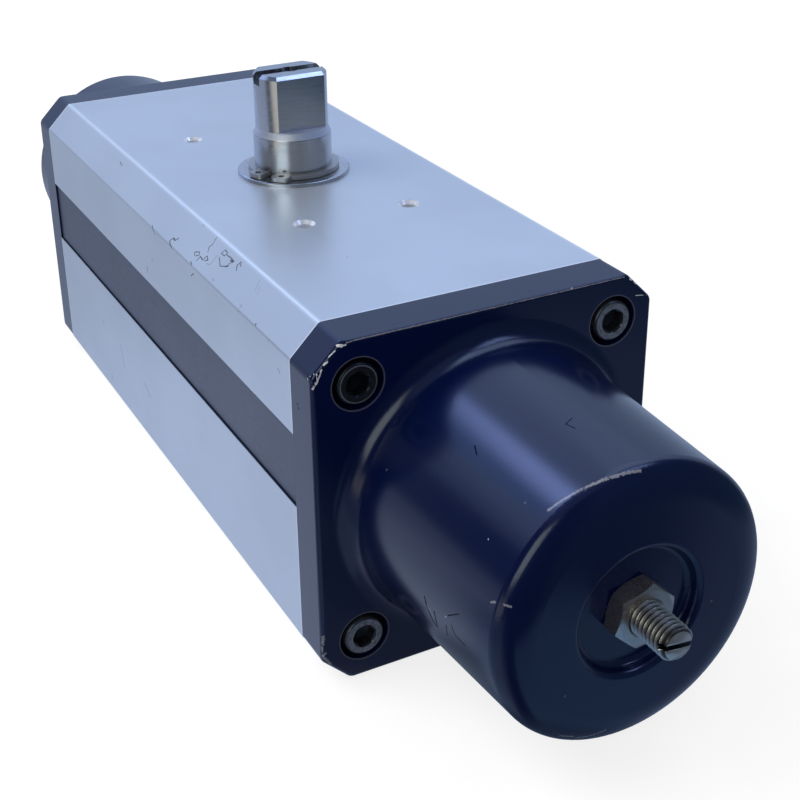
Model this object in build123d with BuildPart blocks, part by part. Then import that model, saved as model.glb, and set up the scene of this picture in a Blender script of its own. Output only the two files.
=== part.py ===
from build123d import *
import math
import os

# Spring-return, rack-and-pinion, quarter-turn pneumatic actuator, in millimetres.
# The origin is the centre of the bottom mounting face, on the drive shaft's axis.
# +Z runs up the shaft and +X along the body, towards the end shown in the photograph.
# The model is at rest: pistons home, springs long, shaft slot across the body.

# Body extrusion
body_length = 191.0
body_side = 88.0
corner_chamfer = 7.3
corner_round = 0.9
bore_radius = 35.0
strip_centre_height = 52.8
strip_groove_width = 19.0
strip_groove_depth = 2.2

# Side strip
strip_thickness = 1.6
strip_clearance = 0.1
strip_edge_chamfer = 0.15

# Cap screws and their holes
cap_screw_spacing = 66.0
cap_screw_radius = 3.0
cap_screw_shank = 24.0
cap_screw_head_radius = 5.0
cap_screw_head_height = 6.0
cap_screw_head_chamfer = 0.5
cap_screw_socket = 5.0
cap_screw_socket_depth = 3.0
cap_screw_socket_turn = 12.0
cap_screw_head_proud = 0.2
screw_hole_clearance = 0.05
screw_hole_spare_depth = 2.0
counterbore_clearance = 1.25

# Accessory holes in the top face
accessory_spacing_x = 80.0
accessory_spacing_y = 30.0
accessory_hole_radius = 2.1
accessory_hole_depth = 9.0
accessory_sink = 0.8

# Valve mounting holes in the bottom face
small_flange_circle = 50.0
small_flange_hole_radius = 2.5
small_flange_hole_depth = 9.0
large_flange_circle = 70.0
large_flange_hole_radius = 3.4
large_flange_hole_depth = 13.0

# Air connections on the side away from the strip
port_spacing = 24.0
port_radius = 5.9
port_depth = 7.0
port_sink = 0.8
port_drill_radius = 2.5
valve_hole_spacing_x = 32.0
valve_hole_spacing_z = 24.0
valve_hole_radius = 2.1
valve_hole_depth = 8.0

# End caps
plate_thickness = 11.0
plate_corner_round = 2.5
plate_edge_round = 1.0
cup_base_radius = 35.3
cup_front_radius = 32.6
cup_length = 59.0
cup_base_fillet = 5.0
cup_rim_length = 3.4
cup_rim_drop = 4.1
cup_shoulder_round = 2.8
cup_front_round = 10.6
cavity_base_radius = 31.0
cavity_end_radius = 28.0
cap_end_wall = 10.7
cavity_end_fillet = 2.5
stop_boss_radius = 9.0
stop_boss_height = 6.0
pilot_length = 3.0
pilot_clearance = 0.08
recess_radius = 14.4
recess_depth = 3.0
recess_edge_round = 1.5
recess_floor_round = 1.4

# Cap seals, round cords in face grooves
cap_seal_circle = 38.0
cap_seal_cord = 0.95
cap_seal_groove_depth = 1.85
cap_seal_groove_width = 2.4

# Stop screws and lock nuts
stop_screw_radius = 4.0
stop_screw_clearance = 0.05
stop_screw_reach = 10.2
stop_screw_chamfer = 0.9
stop_screw_slot_width = 1.2
stop_screw_slot_depth = 2.2
stop_gap = 0.3
lock_nut_size = 13.0
lock_nut_height = 5.0
lock_nut_turn = 20.0
lock_nut_face_inset = 0.25
lock_nut_chamfer_angle = 30.0
stop_seal_cord = 0.7
stop_seal_circle = 4.85
stop_seal_pocket_radius = 5.7
stop_seal_pocket_depth = 1.5

# Rack and pinion
tooth_module = 1.5
pinion_teeth = 20
pressure_angle = 20.0
backlash = 0.16
root_clearance = 0.25
gear_width = 30.0
rack_width = 28.0
rack_end_spare = 5.0
quarter_turn = 90.0

# Pistons
piston_clearance = 0.4
seal_clearance = 0.05
piston_gap = 3.0
piston_thickness = 17.0
piston_edge_chamfer = 0.8
arm_back = 31.0
arm_edge_round = 2.0
spring_pocket_inner_radius = 16.0
spring_pocket_outer_radius = 28.0
spring_pocket_depth = 5.0
piston_seal_cord = 1.3
piston_seal_groove_width = 3.2
piston_seal_place = 4.5
guide_band_width = 6.0
guide_band_thickness = 2.0
guide_band_place = 12.0
guide_band_split = 2.0
groove_play = 0.05
pad_inset = 5.0
pad_length = 30.0
pad_width = 12.0
pad_seat_depth = 1.0

# Springs
spring_mean_radius = 22.5
spring_wire_radius = 2.2
spring_turns = 6.5
spring_contact_gap = 0.05
spring_seat_inner_radius = 18.0
spring_seat_outer_radius = 27.0
spring_seat_thickness = 1.5

# Drive shaft
shaft_radius = 10.75
shaft_collar_height = 11.4
shaft_collar_chamfer_height = 1.6
shaft_end_radius = 10.0
shaft_end_height = 28.6
shaft_rim_chamfer = 0.9
shaft_flat_distance = 7.2
shaft_flat_clearance = 0.35
shaft_flat_chamfer = 0.9
shaft_slot_width = 4.0
shaft_slot_depth = 3.0
shaft_thread_radius = 2.5
shaft_thread_depth = 14.0
neck_radius = 12.9
lower_journal_radius = 17.0
lower_collar_radius = 18.4
lower_collar_height = 4.0
shaft_foot_height = 0.8
gear_to_journal_gap = 0.5
socket_size = 17.0
socket_depth = 19.0

# Shaft bearings and seals
bearing_clearance = 0.05
bush_seat_clearance = 0.02
shaft_hole_clearance = 0.1
thrust_play = 0.2
upper_bush_radius = 13.0
upper_bush_length = 7.3
upper_shoulder_wall = 4.0
lower_hole_radius = 18.5
lower_bush_length = 6.4
upper_seal_cord = 0.8
upper_seal_groove_width = 2.0
upper_seal_drop = 1.9
lower_seal_cord = 0.93
lower_seal_groove_width = 2.3

# Thrust washer and circlip
washer_radius = 15.5
washer_bore_clearance = 0.25
washer_thickness = 1.0
washer_edge_round = 0.3
circlip_radius = 12.6
circlip_offset = 0.2
circlip_thickness = 1.2
circlip_groove_depth = 0.5
circlip_play = 0.15
circlip_gap_direction = -56.0
circlip_gap_half_angle = 6.0
circlip_lug_end_angle = 27.0
circlip_lug_radius = 14.4
circlip_lug_round = 0.9
circlip_hole_angle = 17.0
circlip_hole_circle = 12.7
circlip_hole_radius = 0.9

# Worked-out places
body_half = body_length / 2
axis_height = body_side / 2
top_height = body_side
groove_floor = body_side / 2 - strip_groove_depth
plate_front = body_half + plate_thickness
cup_front = plate_front + cup_length
cup_shoulder = cup_front - cup_rim_length
cup_taper = (cup_base_radius - cup_front_radius) / cup_length
cup_shoulder_radius = cup_front_radius + cup_taper * cup_rim_length
recess_floor = cup_front - recess_depth
cavity_end = cup_front - cap_end_wall
stop_boss_face = cavity_end - stop_boss_height
cap_screw_head_top = plate_front + cap_screw_head_proud
cap_screw_seat = cap_screw_head_top - cap_screw_head_height
screw_hole_depth = body_half - cap_screw_seat + cap_screw_shank + screw_hole_spare_depth
pitch_radius = tooth_module * pinion_teeth / 2
base_radius = pitch_radius * math.cos(math.radians(pressure_angle))
gear_tip_radius = pitch_radius + tooth_module
gear_root_radius = pitch_radius - (1 + root_clearance) * tooth_module
rack_tip = pitch_radius - tooth_module
rack_root = pitch_radius + (1 + root_clearance) * tooth_module
tooth_pitch = math.pi * tooth_module
tooth_half_width = (tooth_pitch - backlash) / 4
mesh_reach = math.sqrt(gear_tip_radius**2 - rack_tip**2)
stroke = pitch_radius * math.radians(quarter_turn)
arm_reach = stroke + rack_end_spare
piston_inner = arm_reach + piston_gap
piston_outer = piston_inner + piston_thickness
piston_radius = bore_radius - piston_clearance
seal_radius = bore_radius - seal_clearance
pad_start = pad_inset - arm_reach
spring_start = piston_outer - spring_pocket_depth + spring_seat_thickness
spring_length = cavity_end - spring_start
stop_screw_tip = piston_outer + stroke + stop_gap
stop_screw_end = recess_floor + lock_nut_height + stop_screw_reach
shaft_top = top_height + shaft_end_height
collar_top = top_height + shaft_collar_height
collar_chamfer_top = collar_top + shaft_collar_chamfer_height
gear_bottom = axis_height - gear_width / 2
gear_top = axis_height + gear_width / 2
upper_hole_radius = shaft_radius + shaft_hole_clearance
upper_bush_top = top_height - upper_shoulder_wall
upper_bush_bottom = upper_bush_top - upper_bush_length
lower_collar_top = shaft_foot_height + lower_collar_height
lower_bush_bottom = lower_collar_top + thrust_play
upper_seal_height = top_height - upper_seal_drop
lower_seal_height = shaft_foot_height + lower_collar_height / 2
circlip_bottom = top_height + washer_thickness + circlip_play
circlip_floor = shaft_radius - circlip_groove_depth
piston_axis = Axis((0, 0, axis_height), (1, 0, 0))


def end_plane(x, side=1):
    """A plane across the body's length, centred on the piston axis and facing out on its side."""
    return Plane(origin=(side * x, 0, axis_height), x_dir=(0, 1, 0), z_dir=(side, 0, 0))


def polar(radius, angle):
    return (radius * math.cos(angle), radius * math.sin(angle))


def body_outline(profile, rounding):
    """Draws the chamfered square that the body and the cap plates share."""
    Rectangle(body_side, body_side)
    chamfer(profile.vertices(), corner_chamfer)
    fillet(profile.vertices(), rounding)


def make_body():
    with BuildPart() as body:
        with BuildSketch(end_plane(-body_half)) as profile:
            body_outline(profile, corner_round)
            Circle(bore_radius, mode=Mode.SUBTRACT)
            with Locations((-body_side / 2, strip_centre_height - axis_height)):
                Rectangle(2 * strip_groove_depth, strip_groove_width, mode=Mode.SUBTRACT)
        extrude(amount=body_length)

        for side in (-1, 1):
            with Locations(end_plane(body_half, side)):
                with GridLocations(cap_screw_spacing, cap_screw_spacing, 2, 2):
                    Hole(cap_screw_radius + screw_hole_clearance, depth=screw_hole_depth)

        with Locations(Plane.XY.offset(top_height)):
            with GridLocations(accessory_spacing_x, accessory_spacing_y, 2, 2):
                CounterSinkHole(
                    accessory_hole_radius,
                    accessory_hole_radius + accessory_sink,
                    depth=accessory_hole_depth,
                )

        with Locations(Plane(origin=(0, 0, 0), z_dir=(0, 0, -1))):
            with PolarLocations(small_flange_circle / 2, 4, start_angle=45):
                Hole(small_flange_hole_radius, depth=small_flange_hole_depth)
            with PolarLocations(large_flange_circle / 2, 4, start_angle=45):
                Hole(large_flange_hole_radius, depth=large_flange_hole_depth)

        with BuildSketch(Plane.XY.offset(axis_height)):
            Circle(upper_hole_radius)
        extrude(amount=top_height - axis_height, mode=Mode.SUBTRACT)
        with BuildSketch(Plane.XY.offset(axis_height)):
            Circle(upper_bush_radius)
        extrude(amount=upper_bush_top - axis_height, mode=Mode.SUBTRACT)
        with BuildSketch(Plane.XY):
            Circle(lower_hole_radius)
        extrude(amount=axis_height, mode=Mode.SUBTRACT)

        port_face = Plane(origin=(0, body_side / 2, axis_height), x_dir=(-1, 0, 0), z_dir=(0, 1, 0))
        with Locations(port_face):
            with Locations((port_spacing / 2, 0), (-port_spacing / 2, 0)):
                CounterSinkHole(port_radius, port_radius + port_sink, depth=port_depth)
            with Locations((port_spacing / 2, 0)):
                Hole(port_drill_radius, depth=body_side / 2)
            with GridLocations(valve_hole_spacing_x, valve_hole_spacing_z, 2, 2):
                Hole(valve_hole_radius, depth=valve_hole_depth)
    return body


def make_side_strip():
    groove = Plane(origin=(0, -groove_floor, strip_centre_height), x_dir=(1, 0, 0), z_dir=(0, -1, 0))
    with BuildPart() as strip:
        with BuildSketch(groove):
            Rectangle(body_length, strip_groove_width - 2 * strip_clearance)
        extrude(amount=strip_thickness)
        outer = strip.faces().sort_by(Axis.Y)[0]
        chamfer(outer.edges().filter_by(Axis.X), strip_edge_chamfer)
    return strip


def make_end_cap():
    with BuildPart() as cap:
        with BuildSketch(end_plane(body_half)) as plate:
            body_outline(plate, plate_corner_round)
        extrude(amount=plate_thickness)
        front = cap.faces().sort_by(Axis.X)[-1]
        fillet(front.edges(), plate_edge_round)

        with BuildSketch(Plane.XZ):
            with BuildLine():
                Polyline(
                    (body_half, axis_height),
                    (body_half, axis_height + cup_base_radius),
                    (plate_front, axis_height + cup_base_radius),
                    (cup_shoulder, axis_height + cup_shoulder_radius),
                    (cup_front, axis_height + cup_front_radius - cup_rim_drop),
                    (cup_front, axis_height),
                    close=True,
                )
            make_face()
        revolve(axis=piston_axis)
        circles = cap.edges().filter_by(GeomType.CIRCLE)
        fillet(circles.group_by(Axis.X)[-1], cup_front_round)
        circles = cap.edges().filter_by(GeomType.CIRCLE)
        fillet(circles.filter_by_position(Axis.X, cup_shoulder, cup_shoulder), cup_shoulder_round)
        base = cap.edges().filter_by(GeomType.CIRCLE).filter_by_position(Axis.X, plate_front, plate_front)
        fillet(base.sort_by(SortBy.LENGTH)[-1], cup_base_fillet)

        with BuildSketch(end_plane(cup_front)):
            Circle(recess_radius)
        extrude(amount=-recess_depth, mode=Mode.SUBTRACT)
        circles = cap.edges().filter_by(GeomType.CIRCLE)
        mouth = circles.group_by(Axis.X)[-1].sort_by(SortBy.LENGTH)[0]
        fillet(mouth, recess_edge_round)
        floor = cap.edges().filter_by(GeomType.CIRCLE).filter_by_position(Axis.X, recess_floor, recess_floor)
        fillet(floor, recess_floor_round)

        with BuildSketch(end_plane(body_half)):
            Circle(bore_radius - pilot_clearance)
        extrude(amount=-pilot_length)

        with BuildSketch(Plane.XZ):
            with BuildLine():
                Polyline(
                    (body_half - pilot_length, axis_height),
                    (body_half - pilot_length, axis_height + cavity_base_radius),
                    (plate_front, axis_height + cavity_base_radius),
                    (cavity_end, axis_height + cavity_end_radius),
                    (cavity_end, axis_height + stop_boss_radius),
                    (stop_boss_face, axis_height + stop_boss_radius),
                    (stop_boss_face, axis_height),
                    close=True,
                )
            make_face()
        revolve(axis=piston_axis, mode=Mode.SUBTRACT)
        circles = cap.edges().filter_by(GeomType.CIRCLE).filter_by_position(Axis.X, cavity_end, cavity_end)
        fillet(circles.sort_by(SortBy.LENGTH)[-1], cavity_end_fillet)

        with BuildSketch(end_plane(body_half)):
            Circle(cap_seal_circle + cap_seal_groove_width / 2)
            Circle(cap_seal_circle - cap_seal_groove_width / 2, mode=Mode.SUBTRACT)
        extrude(amount=cap_seal_groove_depth, mode=Mode.SUBTRACT)

        with Locations(end_plane(plate_front)):
            with GridLocations(cap_screw_spacing, cap_screw_spacing, 2, 2):
                CounterBoreHole(
                    cap_screw_radius + screw_hole_clearance,
                    cap_screw_head_radius + counterbore_clearance,
                    plate_front - cap_screw_seat,
                    depth=plate_thickness,
                )
        with Locations(end_plane(recess_floor)):
            CounterBoreHole(
                stop_screw_radius + stop_screw_clearance,
                stop_seal_pocket_radius,
                stop_seal_pocket_depth,
                depth=recess_floor - stop_boss_face,
            )
    return cap


def make_cap_seal():
    with BuildPart() as seal:
        with BuildSketch(Plane.XZ):
            with Locations((body_half + cap_seal_cord, axis_height + cap_seal_circle)):
                Circle(cap_seal_cord - groove_play)
        revolve(axis=piston_axis)
    return seal


def make_cap_screws():
    with BuildPart() as screws:
        for side in (1, -1):
            with BuildSketch(end_plane(cap_screw_seat, side)):
                with GridLocations(cap_screw_spacing, cap_screw_spacing, 2, 2):
                    Circle(cap_screw_radius)
            extrude(amount=-cap_screw_shank)
            with BuildSketch(end_plane(cap_screw_seat, side)):
                with GridLocations(cap_screw_spacing, cap_screw_spacing, 2, 2):
                    Circle(cap_screw_head_radius)
            extrude(amount=cap_screw_head_height)
            head_rims = screws.edges().filter_by(GeomType.CIRCLE).group_by(Axis.X)
            chamfer(head_rims[-1] if side > 0 else head_rims[0], cap_screw_head_chamfer)
            with BuildSketch(end_plane(cap_screw_head_top, side)):
                with GridLocations(cap_screw_spacing, cap_screw_spacing, 2, 2):
                    RegularPolygon(cap_screw_socket / 2, 6, major_radius=False, rotation=cap_screw_socket_turn)
            extrude(amount=-cap_screw_socket_depth, mode=Mode.SUBTRACT)
    return screws


def make_stop_screw():
    with BuildPart() as screw:
        with BuildSketch(end_plane(stop_screw_tip)):
            Circle(stop_screw_radius)
        extrude(amount=stop_screw_end - stop_screw_tip)
        chamfer(screw.edges().filter_by(GeomType.CIRCLE), stop_screw_chamfer)
        with BuildSketch(end_plane(stop_screw_end)):
            Rectangle(4 * stop_screw_radius, stop_screw_slot_width)
        extrude(amount=-stop_screw_slot_depth, mode=Mode.SUBTRACT)
    return screw


def make_lock_nut():
    front = recess_floor + lock_nut_height
    face_radius = lock_nut_size / 2 - lock_nut_face_inset
    cone_radius = face_radius + lock_nut_height / 2 / math.tan(math.radians(lock_nut_chamfer_angle))
    with BuildPart() as nut:
        with BuildSketch(end_plane(recess_floor)):
            RegularPolygon(lock_nut_size / 2, 6, major_radius=False, rotation=lock_nut_turn)
            Circle(stop_screw_radius + stop_screw_clearance, mode=Mode.SUBTRACT)
        extrude(amount=lock_nut_height)
        with BuildSketch(Plane.XZ):
            with BuildLine():
                Polyline(
                    (recess_floor, axis_height),
                    (recess_floor, axis_height + face_radius),
                    (recess_floor + lock_nut_height / 2, axis_height + cone_radius),
                    (front, axis_height + face_radius),
                    (front, axis_height),
                    close=True,
                )
            make_face()
        revolve(axis=piston_axis, mode=Mode.INTERSECT)
    return nut


def make_stop_seal():
    with BuildPart() as seal:
        with BuildSketch(Plane.XZ):
            with Locations((recess_floor - stop_seal_cord, axis_height + stop_seal_circle)):
                Circle(stop_seal_cord - groove_play)
        revolve(axis=piston_axis)
    return seal


def involute(angle):
    return math.tan(angle) - angle


def tooth_half_angle(radius):
    """Half the angle that a pinion tooth takes at a radius on its involute."""
    local = math.acos(min(1.0, base_radius / radius))
    return tooth_half_width / pitch_radius + involute(math.radians(pressure_angle)) - involute(local)


def draw_pinion_tooth(centre):
    """Draws one tooth, radial below the base circle and an involute above it."""
    middle_radius = (base_radius + gear_tip_radius) / 2
    foot_radius = gear_root_radius - tooth_module / 2
    base_half = tooth_half_angle(base_radius)
    middle_half = tooth_half_angle(middle_radius)
    tip_half = tooth_half_angle(gear_tip_radius)
    with BuildLine() as outline:
        Line(polar(foot_radius, centre - base_half), polar(base_radius, centre - base_half))
        ThreePointArc(
            polar(base_radius, centre - base_half),
            polar(middle_radius, centre - middle_half),
            polar(gear_tip_radius, centre - tip_half),
        )
        ThreePointArc(
            polar(gear_tip_radius, centre - tip_half),
            polar(gear_tip_radius, centre),
            polar(gear_tip_radius, centre + tip_half),
        )
        ThreePointArc(
            polar(gear_tip_radius, centre + tip_half),
            polar(middle_radius, centre + middle_half),
            polar(base_radius, centre + base_half),
        )
        Line(polar(base_radius, centre + base_half), polar(foot_radius, centre + base_half))
        Line(polar(foot_radius, centre + base_half), polar(foot_radius, centre - base_half))
    make_face(outline.edges())


def cut_shaft_groove(height, width, floor_radius):
    """Cuts a groove round the upright shaft, its middle at a height."""
    with BuildSketch(Plane.XY.offset(height - width / 2)) as ring:
        Circle(2 * lower_collar_radius)
        Circle(floor_radius, mode=Mode.SUBTRACT)
    extrude(ring.sketch, amount=width, mode=Mode.SUBTRACT)


def make_pinion():
    journal_top = gear_bottom - gear_to_journal_gap
    neck_top = upper_bush_bottom - thrust_play
    flat_bottom = collar_chamfer_top + shaft_flat_clearance
    with BuildPart() as pinion:
        with BuildSketch(Plane.XZ):
            with BuildLine():
                Polyline(
                    (0, shaft_foot_height),
                    (lower_collar_radius, shaft_foot_height),
                    (lower_collar_radius, lower_collar_top),
                    (lower_journal_radius, lower_collar_top),
                    (lower_journal_radius, journal_top),
                    (gear_root_radius, journal_top),
                    (gear_root_radius, gear_top),
                    (neck_radius, gear_top),
                    (neck_radius, neck_top),
                    (shaft_radius, neck_top),
                    (shaft_radius, collar_top),
                    (shaft_end_radius, collar_chamfer_top),
                    (shaft_end_radius, shaft_top - shaft_rim_chamfer),
                    (shaft_end_radius - shaft_rim_chamfer, shaft_top),
                    (0, shaft_top),
                    close=True,
                )
            make_face()
        revolve(axis=Axis.Z)

        with BuildSketch(Plane.XY.offset(gear_bottom)):
            for tooth in range(pinion_teeth):
                draw_pinion_tooth(2 * math.pi * tooth / pinion_teeth)
        extrude(amount=gear_width)

        cut_shaft_groove(
            upper_seal_height,
            upper_seal_groove_width,
            upper_hole_radius - seal_clearance - 2 * upper_seal_cord,
        )
        cut_shaft_groove(
            lower_seal_height,
            lower_seal_groove_width,
            lower_hole_radius - seal_clearance - 2 * lower_seal_cord,
        )
        cut_shaft_groove(
            circlip_bottom + circlip_thickness / 2,
            circlip_thickness + 2 * groove_play,
            circlip_floor,
        )

        flat_cut = Plane.XY.offset(flat_bottom)
        with BuildSketch(flat_cut):
            Rectangle(4 * shaft_end_radius, 4 * shaft_end_radius)
            Rectangle(2 * shaft_flat_distance, 4 * shaft_end_radius, mode=Mode.SUBTRACT)
        extrude(amount=shaft_top - flat_bottom, mode=Mode.SUBTRACT)
        flat_tops = pinion.edges().filter_by(Axis.Y).group_by(Axis.Z)[-1]
        chamfer(flat_tops, shaft_flat_chamfer)

        with BuildSketch(Plane.XY.offset(shaft_top)):
            Rectangle(shaft_slot_width, 4 * shaft_end_radius)
        extrude(amount=-shaft_slot_depth, mode=Mode.SUBTRACT)
        with Locations(Plane.XY.offset(shaft_top)):
            Hole(shaft_thread_radius, depth=shaft_thread_depth)

        with BuildSketch(Plane.XY.offset(shaft_foot_height)):
            Rectangle(socket_size, socket_size)
            Rectangle(socket_size, socket_size, rotation=45)
        extrude(amount=socket_depth, mode=Mode.SUBTRACT)
    return pinion


def draw_rack_space(centre):
    """Draws the gap between two rack teeth, straight-sided at the pressure angle."""
    slope = math.tan(math.radians(pressure_angle))
    mouth = rack_tip - tooth_module / 2
    mouth_half = tooth_pitch / 2 - tooth_half_width + (pitch_radius - mouth) * slope
    floor_half = tooth_pitch / 2 - tooth_half_width - (rack_root - pitch_radius) * slope
    with BuildLine() as outline:
        Polyline(
            (centre - mouth_half, -mouth),
            (centre - floor_half, -rack_root),
            (centre + floor_half, -rack_root),
            (centre + mouth_half, -mouth),
            close=True,
        )
    make_face(outline.edges())


def cut_piston_groove(place, width, floor_radius):
    """Cuts a groove round the piston, its middle at a place from the disc's inner face."""
    with BuildSketch(end_plane(piston_inner + place - width / 2)) as ring:
        Circle(bore_radius)
        Circle(floor_radius, mode=Mode.SUBTRACT)
    extrude(ring.sketch, amount=width, mode=Mode.SUBTRACT)


def make_piston():
    with BuildPart() as piston:
        with BuildSketch(end_plane(piston_inner)):
            Circle(piston_radius)
        extrude(amount=piston_thickness)
        chamfer(piston.edges().filter_by(GeomType.CIRCLE), piston_edge_chamfer)

        with BuildSketch(end_plane(-arm_reach)) as arm:
            with Locations((-(rack_tip + arm_back) / 2, 0)):
                Rectangle(arm_back - rack_tip, rack_width)
            fillet(arm.vertices().group_by(Axis.X)[0], arm_edge_round)
        extrude(amount=arm_reach + piston_inner + piston_edge_chamfer)

        with BuildSketch(Plane.XY.offset(axis_height - rack_width / 2)):
            first = -math.ceil(arm_reach / tooth_pitch)
            last = math.ceil(mesh_reach / tooth_pitch)
            for space in range(first, last + 1):
                draw_rack_space(space * tooth_pitch)
        extrude(amount=rack_width, mode=Mode.SUBTRACT)

        with BuildSketch(end_plane(pad_start)):
            with Locations((-arm_back, 0)):
                Rectangle(2 * pad_seat_depth, pad_width + 2 * groove_play)
        extrude(amount=pad_length + 2 * groove_play, mode=Mode.SUBTRACT)

        with BuildSketch(end_plane(piston_outer)):
            Circle(spring_pocket_outer_radius)
            Circle(spring_pocket_inner_radius, mode=Mode.SUBTRACT)
        extrude(amount=-spring_pocket_depth, mode=Mode.SUBTRACT)

        cut_piston_groove(piston_seal_place, piston_seal_groove_width, seal_radius - 2 * piston_seal_cord)
        cut_piston_groove(
            guide_band_place,
            guide_band_width + 2 * groove_play,
            seal_radius - guide_band_thickness - groove_play,
        )
    return piston


def make_piston_seal():
    with BuildPart() as seal:
        with BuildSketch(Plane.XZ):
            with Locations((piston_inner + piston_seal_place, axis_height + seal_radius - piston_seal_cord)):
                Circle(piston_seal_cord - groove_play / 2)
        revolve(axis=piston_axis)
    return seal


def make_guide_band():
    with BuildPart() as band:
        with BuildSketch(end_plane(piston_inner + guide_band_place - guide_band_width / 2)):
            Circle(seal_radius)
            Circle(seal_radius - guide_band_thickness, mode=Mode.SUBTRACT)
            with Locations((0, seal_radius)):
                Rectangle(guide_band_split, 4 * guide_band_thickness, mode=Mode.SUBTRACT)
        extrude(amount=guide_band_width)
    return band


def make_rack_pad():
    seat = arm_back - pad_seat_depth
    with BuildPart() as pad:
        with BuildSketch(end_plane(pad_start + groove_play)):
            with Locations((-(seat + bore_radius) / 2, 0)):
                Rectangle(bore_radius - seat, pad_width)
            Circle(seal_radius, mode=Mode.INTERSECT)
        extrude(amount=pad_length)
    return pad


def make_spring():
    end_inset = spring_wire_radius + spring_contact_gap
    rise = spring_length - 2 * end_inset
    with BuildPart() as spring:
        with BuildLine() as coil:
            Helix(
                rise / spring_turns,
                rise,
                spring_mean_radius,
                center=(spring_start + end_inset, 0, axis_height),
                direction=(1, 0, 0),
            )
        with BuildSketch(Plane(origin=coil.line @ 0, z_dir=coil.line % 0)):
            Circle(spring_wire_radius)
        sweep(is_frenet=True)
    return spring


def make_spring_seat():
    with BuildPart() as seat:
        with BuildSketch(end_plane(spring_start)):
            Circle(spring_seat_outer_radius)
            Circle(spring_seat_inner_radius, mode=Mode.SUBTRACT)
        extrude(amount=-spring_seat_thickness)
    return seat


def make_bush(bottom, length, hole_radius, journal_radius):
    with BuildPart() as bush:
        with BuildSketch(Plane.XY.offset(bottom)):
            Circle(hole_radius - bush_seat_clearance)
            Circle(journal_radius + bearing_clearance, mode=Mode.SUBTRACT)
        extrude(amount=length)
    return bush


def make_shaft_seal(height, hole_radius, cord):
    with BuildPart() as seal:
        with BuildSketch(Plane.XZ):
            with Locations((hole_radius - seal_clearance - cord, height)):
                Circle(cord - groove_play / 2)
        revolve(axis=Axis.Z)
    return seal


def make_thrust_washer():
    with BuildPart() as washer:
        with BuildSketch(Plane.XY.offset(top_height)):
            Circle(washer_radius)
            Circle(shaft_radius + washer_bore_clearance, mode=Mode.SUBTRACT)
        extrude(amount=washer_thickness)
        rim = washer.edges().group_by(Axis.Z)[-1].sort_by(SortBy.LENGTH)[-1]
        fillet(rim, washer_edge_round)
    return washer


def make_circlip():
    """An external retaining ring, with two holed lugs beside its gap."""
    turn = math.radians(circlip_gap_direction)
    gap = math.radians(circlip_gap_half_angle)
    lug_end = math.radians(circlip_lug_end_angle)
    hole = math.radians(circlip_hole_angle)
    with BuildPart() as ring:
        with BuildSketch(Plane.XY.offset(circlip_bottom)) as profile:
            with BuildLine():
                Line((0, 0), polar(circlip_lug_radius, turn - lug_end))
                ThreePointArc(
                    polar(circlip_lug_radius, turn - lug_end),
                    polar(circlip_lug_radius, turn),
                    polar(circlip_lug_radius, turn + lug_end),
                )
                Line(polar(circlip_lug_radius, turn + lug_end), (0, 0))
            make_face()
            with BuildLine():
                Polyline(
                    (0, 0),
                    polar(2 * circlip_lug_radius, turn - gap),
                    polar(2 * circlip_lug_radius, turn + gap),
                    close=True,
                )
            make_face(mode=Mode.SUBTRACT)
            corners = profile.vertices().sort_by_distance((0, 0, 0))[-4:]
            fillet(corners, circlip_lug_round)
            with Locations(polar(-circlip_offset, turn)):
                Circle(circlip_radius)
            for foot in (polar(circlip_radius, turn - lug_end), polar(circlip_radius, turn + lug_end)):
                fillet(profile.vertices().sort_by_distance((*foot, 0))[0], circlip_lug_round)
            with BuildLine():
                Polyline(
                    (0, 0),
                    polar(circlip_radius, turn - gap),
                    polar(circlip_radius, turn + gap),
                    close=True,
                )
            make_face(mode=Mode.SUBTRACT)
            Circle(circlip_floor + groove_play, mode=Mode.SUBTRACT)
            with Locations(polar(circlip_hole_circle, turn - hole), polar(circlip_hole_circle, turn + hole)):
                Circle(circlip_hole_radius, mode=Mode.SUBTRACT)
        extrude(amount=circlip_thickness)
    return ring


def turn_to_left(right):
    """The left-hand twin of a right-hand piece, half a turn round the shaft."""
    with BuildPart() as left:
        add(right.part, rotation=(0, 0, 180))
    return left


single_pieces = {
    "body": make_body(),
    "side_strip": make_side_strip(),
    "cap_screws": make_cap_screws(),
    "pinion": make_pinion(),
    "upper_bush": make_bush(upper_bush_bottom, upper_bush_length, upper_bush_radius, shaft_radius),
    "lower_bush": make_bush(lower_bush_bottom, lower_bush_length, lower_hole_radius, lower_journal_radius),
    "upper_shaft_seal": make_shaft_seal(upper_seal_height, upper_hole_radius, upper_seal_cord),
    "lower_shaft_seal": make_shaft_seal(lower_seal_height, lower_hole_radius, lower_seal_cord),
    "thrust_washer": make_thrust_washer(),
    "circlip": make_circlip(),
}
paired_pieces = {
    "end_cap": make_end_cap(),
    "cap_seal": make_cap_seal(),
    "stop_screw": make_stop_screw(),
    "lock_nut": make_lock_nut(),
    "stop_seal": make_stop_seal(),
    "piston": make_piston(),
    "piston_seal": make_piston_seal(),
    "guide_band": make_guide_band(),
    "rack_pad": make_rack_pad(),
    "spring": make_spring(),
    "spring_seat": make_spring_seat(),
}

pieces = dict(single_pieces)
for name, right in paired_pieces.items():
    pieces[name + "_right"] = right
    pieces[name + "_left"] = turn_to_left(right)

os.makedirs("parts", exist_ok=True)
for name, piece in pieces.items():
    piece.part.label = name
    export_step(piece.part, f"parts/{name}.step")
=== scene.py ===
from math import ceil, cos, pi, radians, sin, sqrt, tan

import bmesh
import bpy
from mathutils import Matrix, Vector


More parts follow.
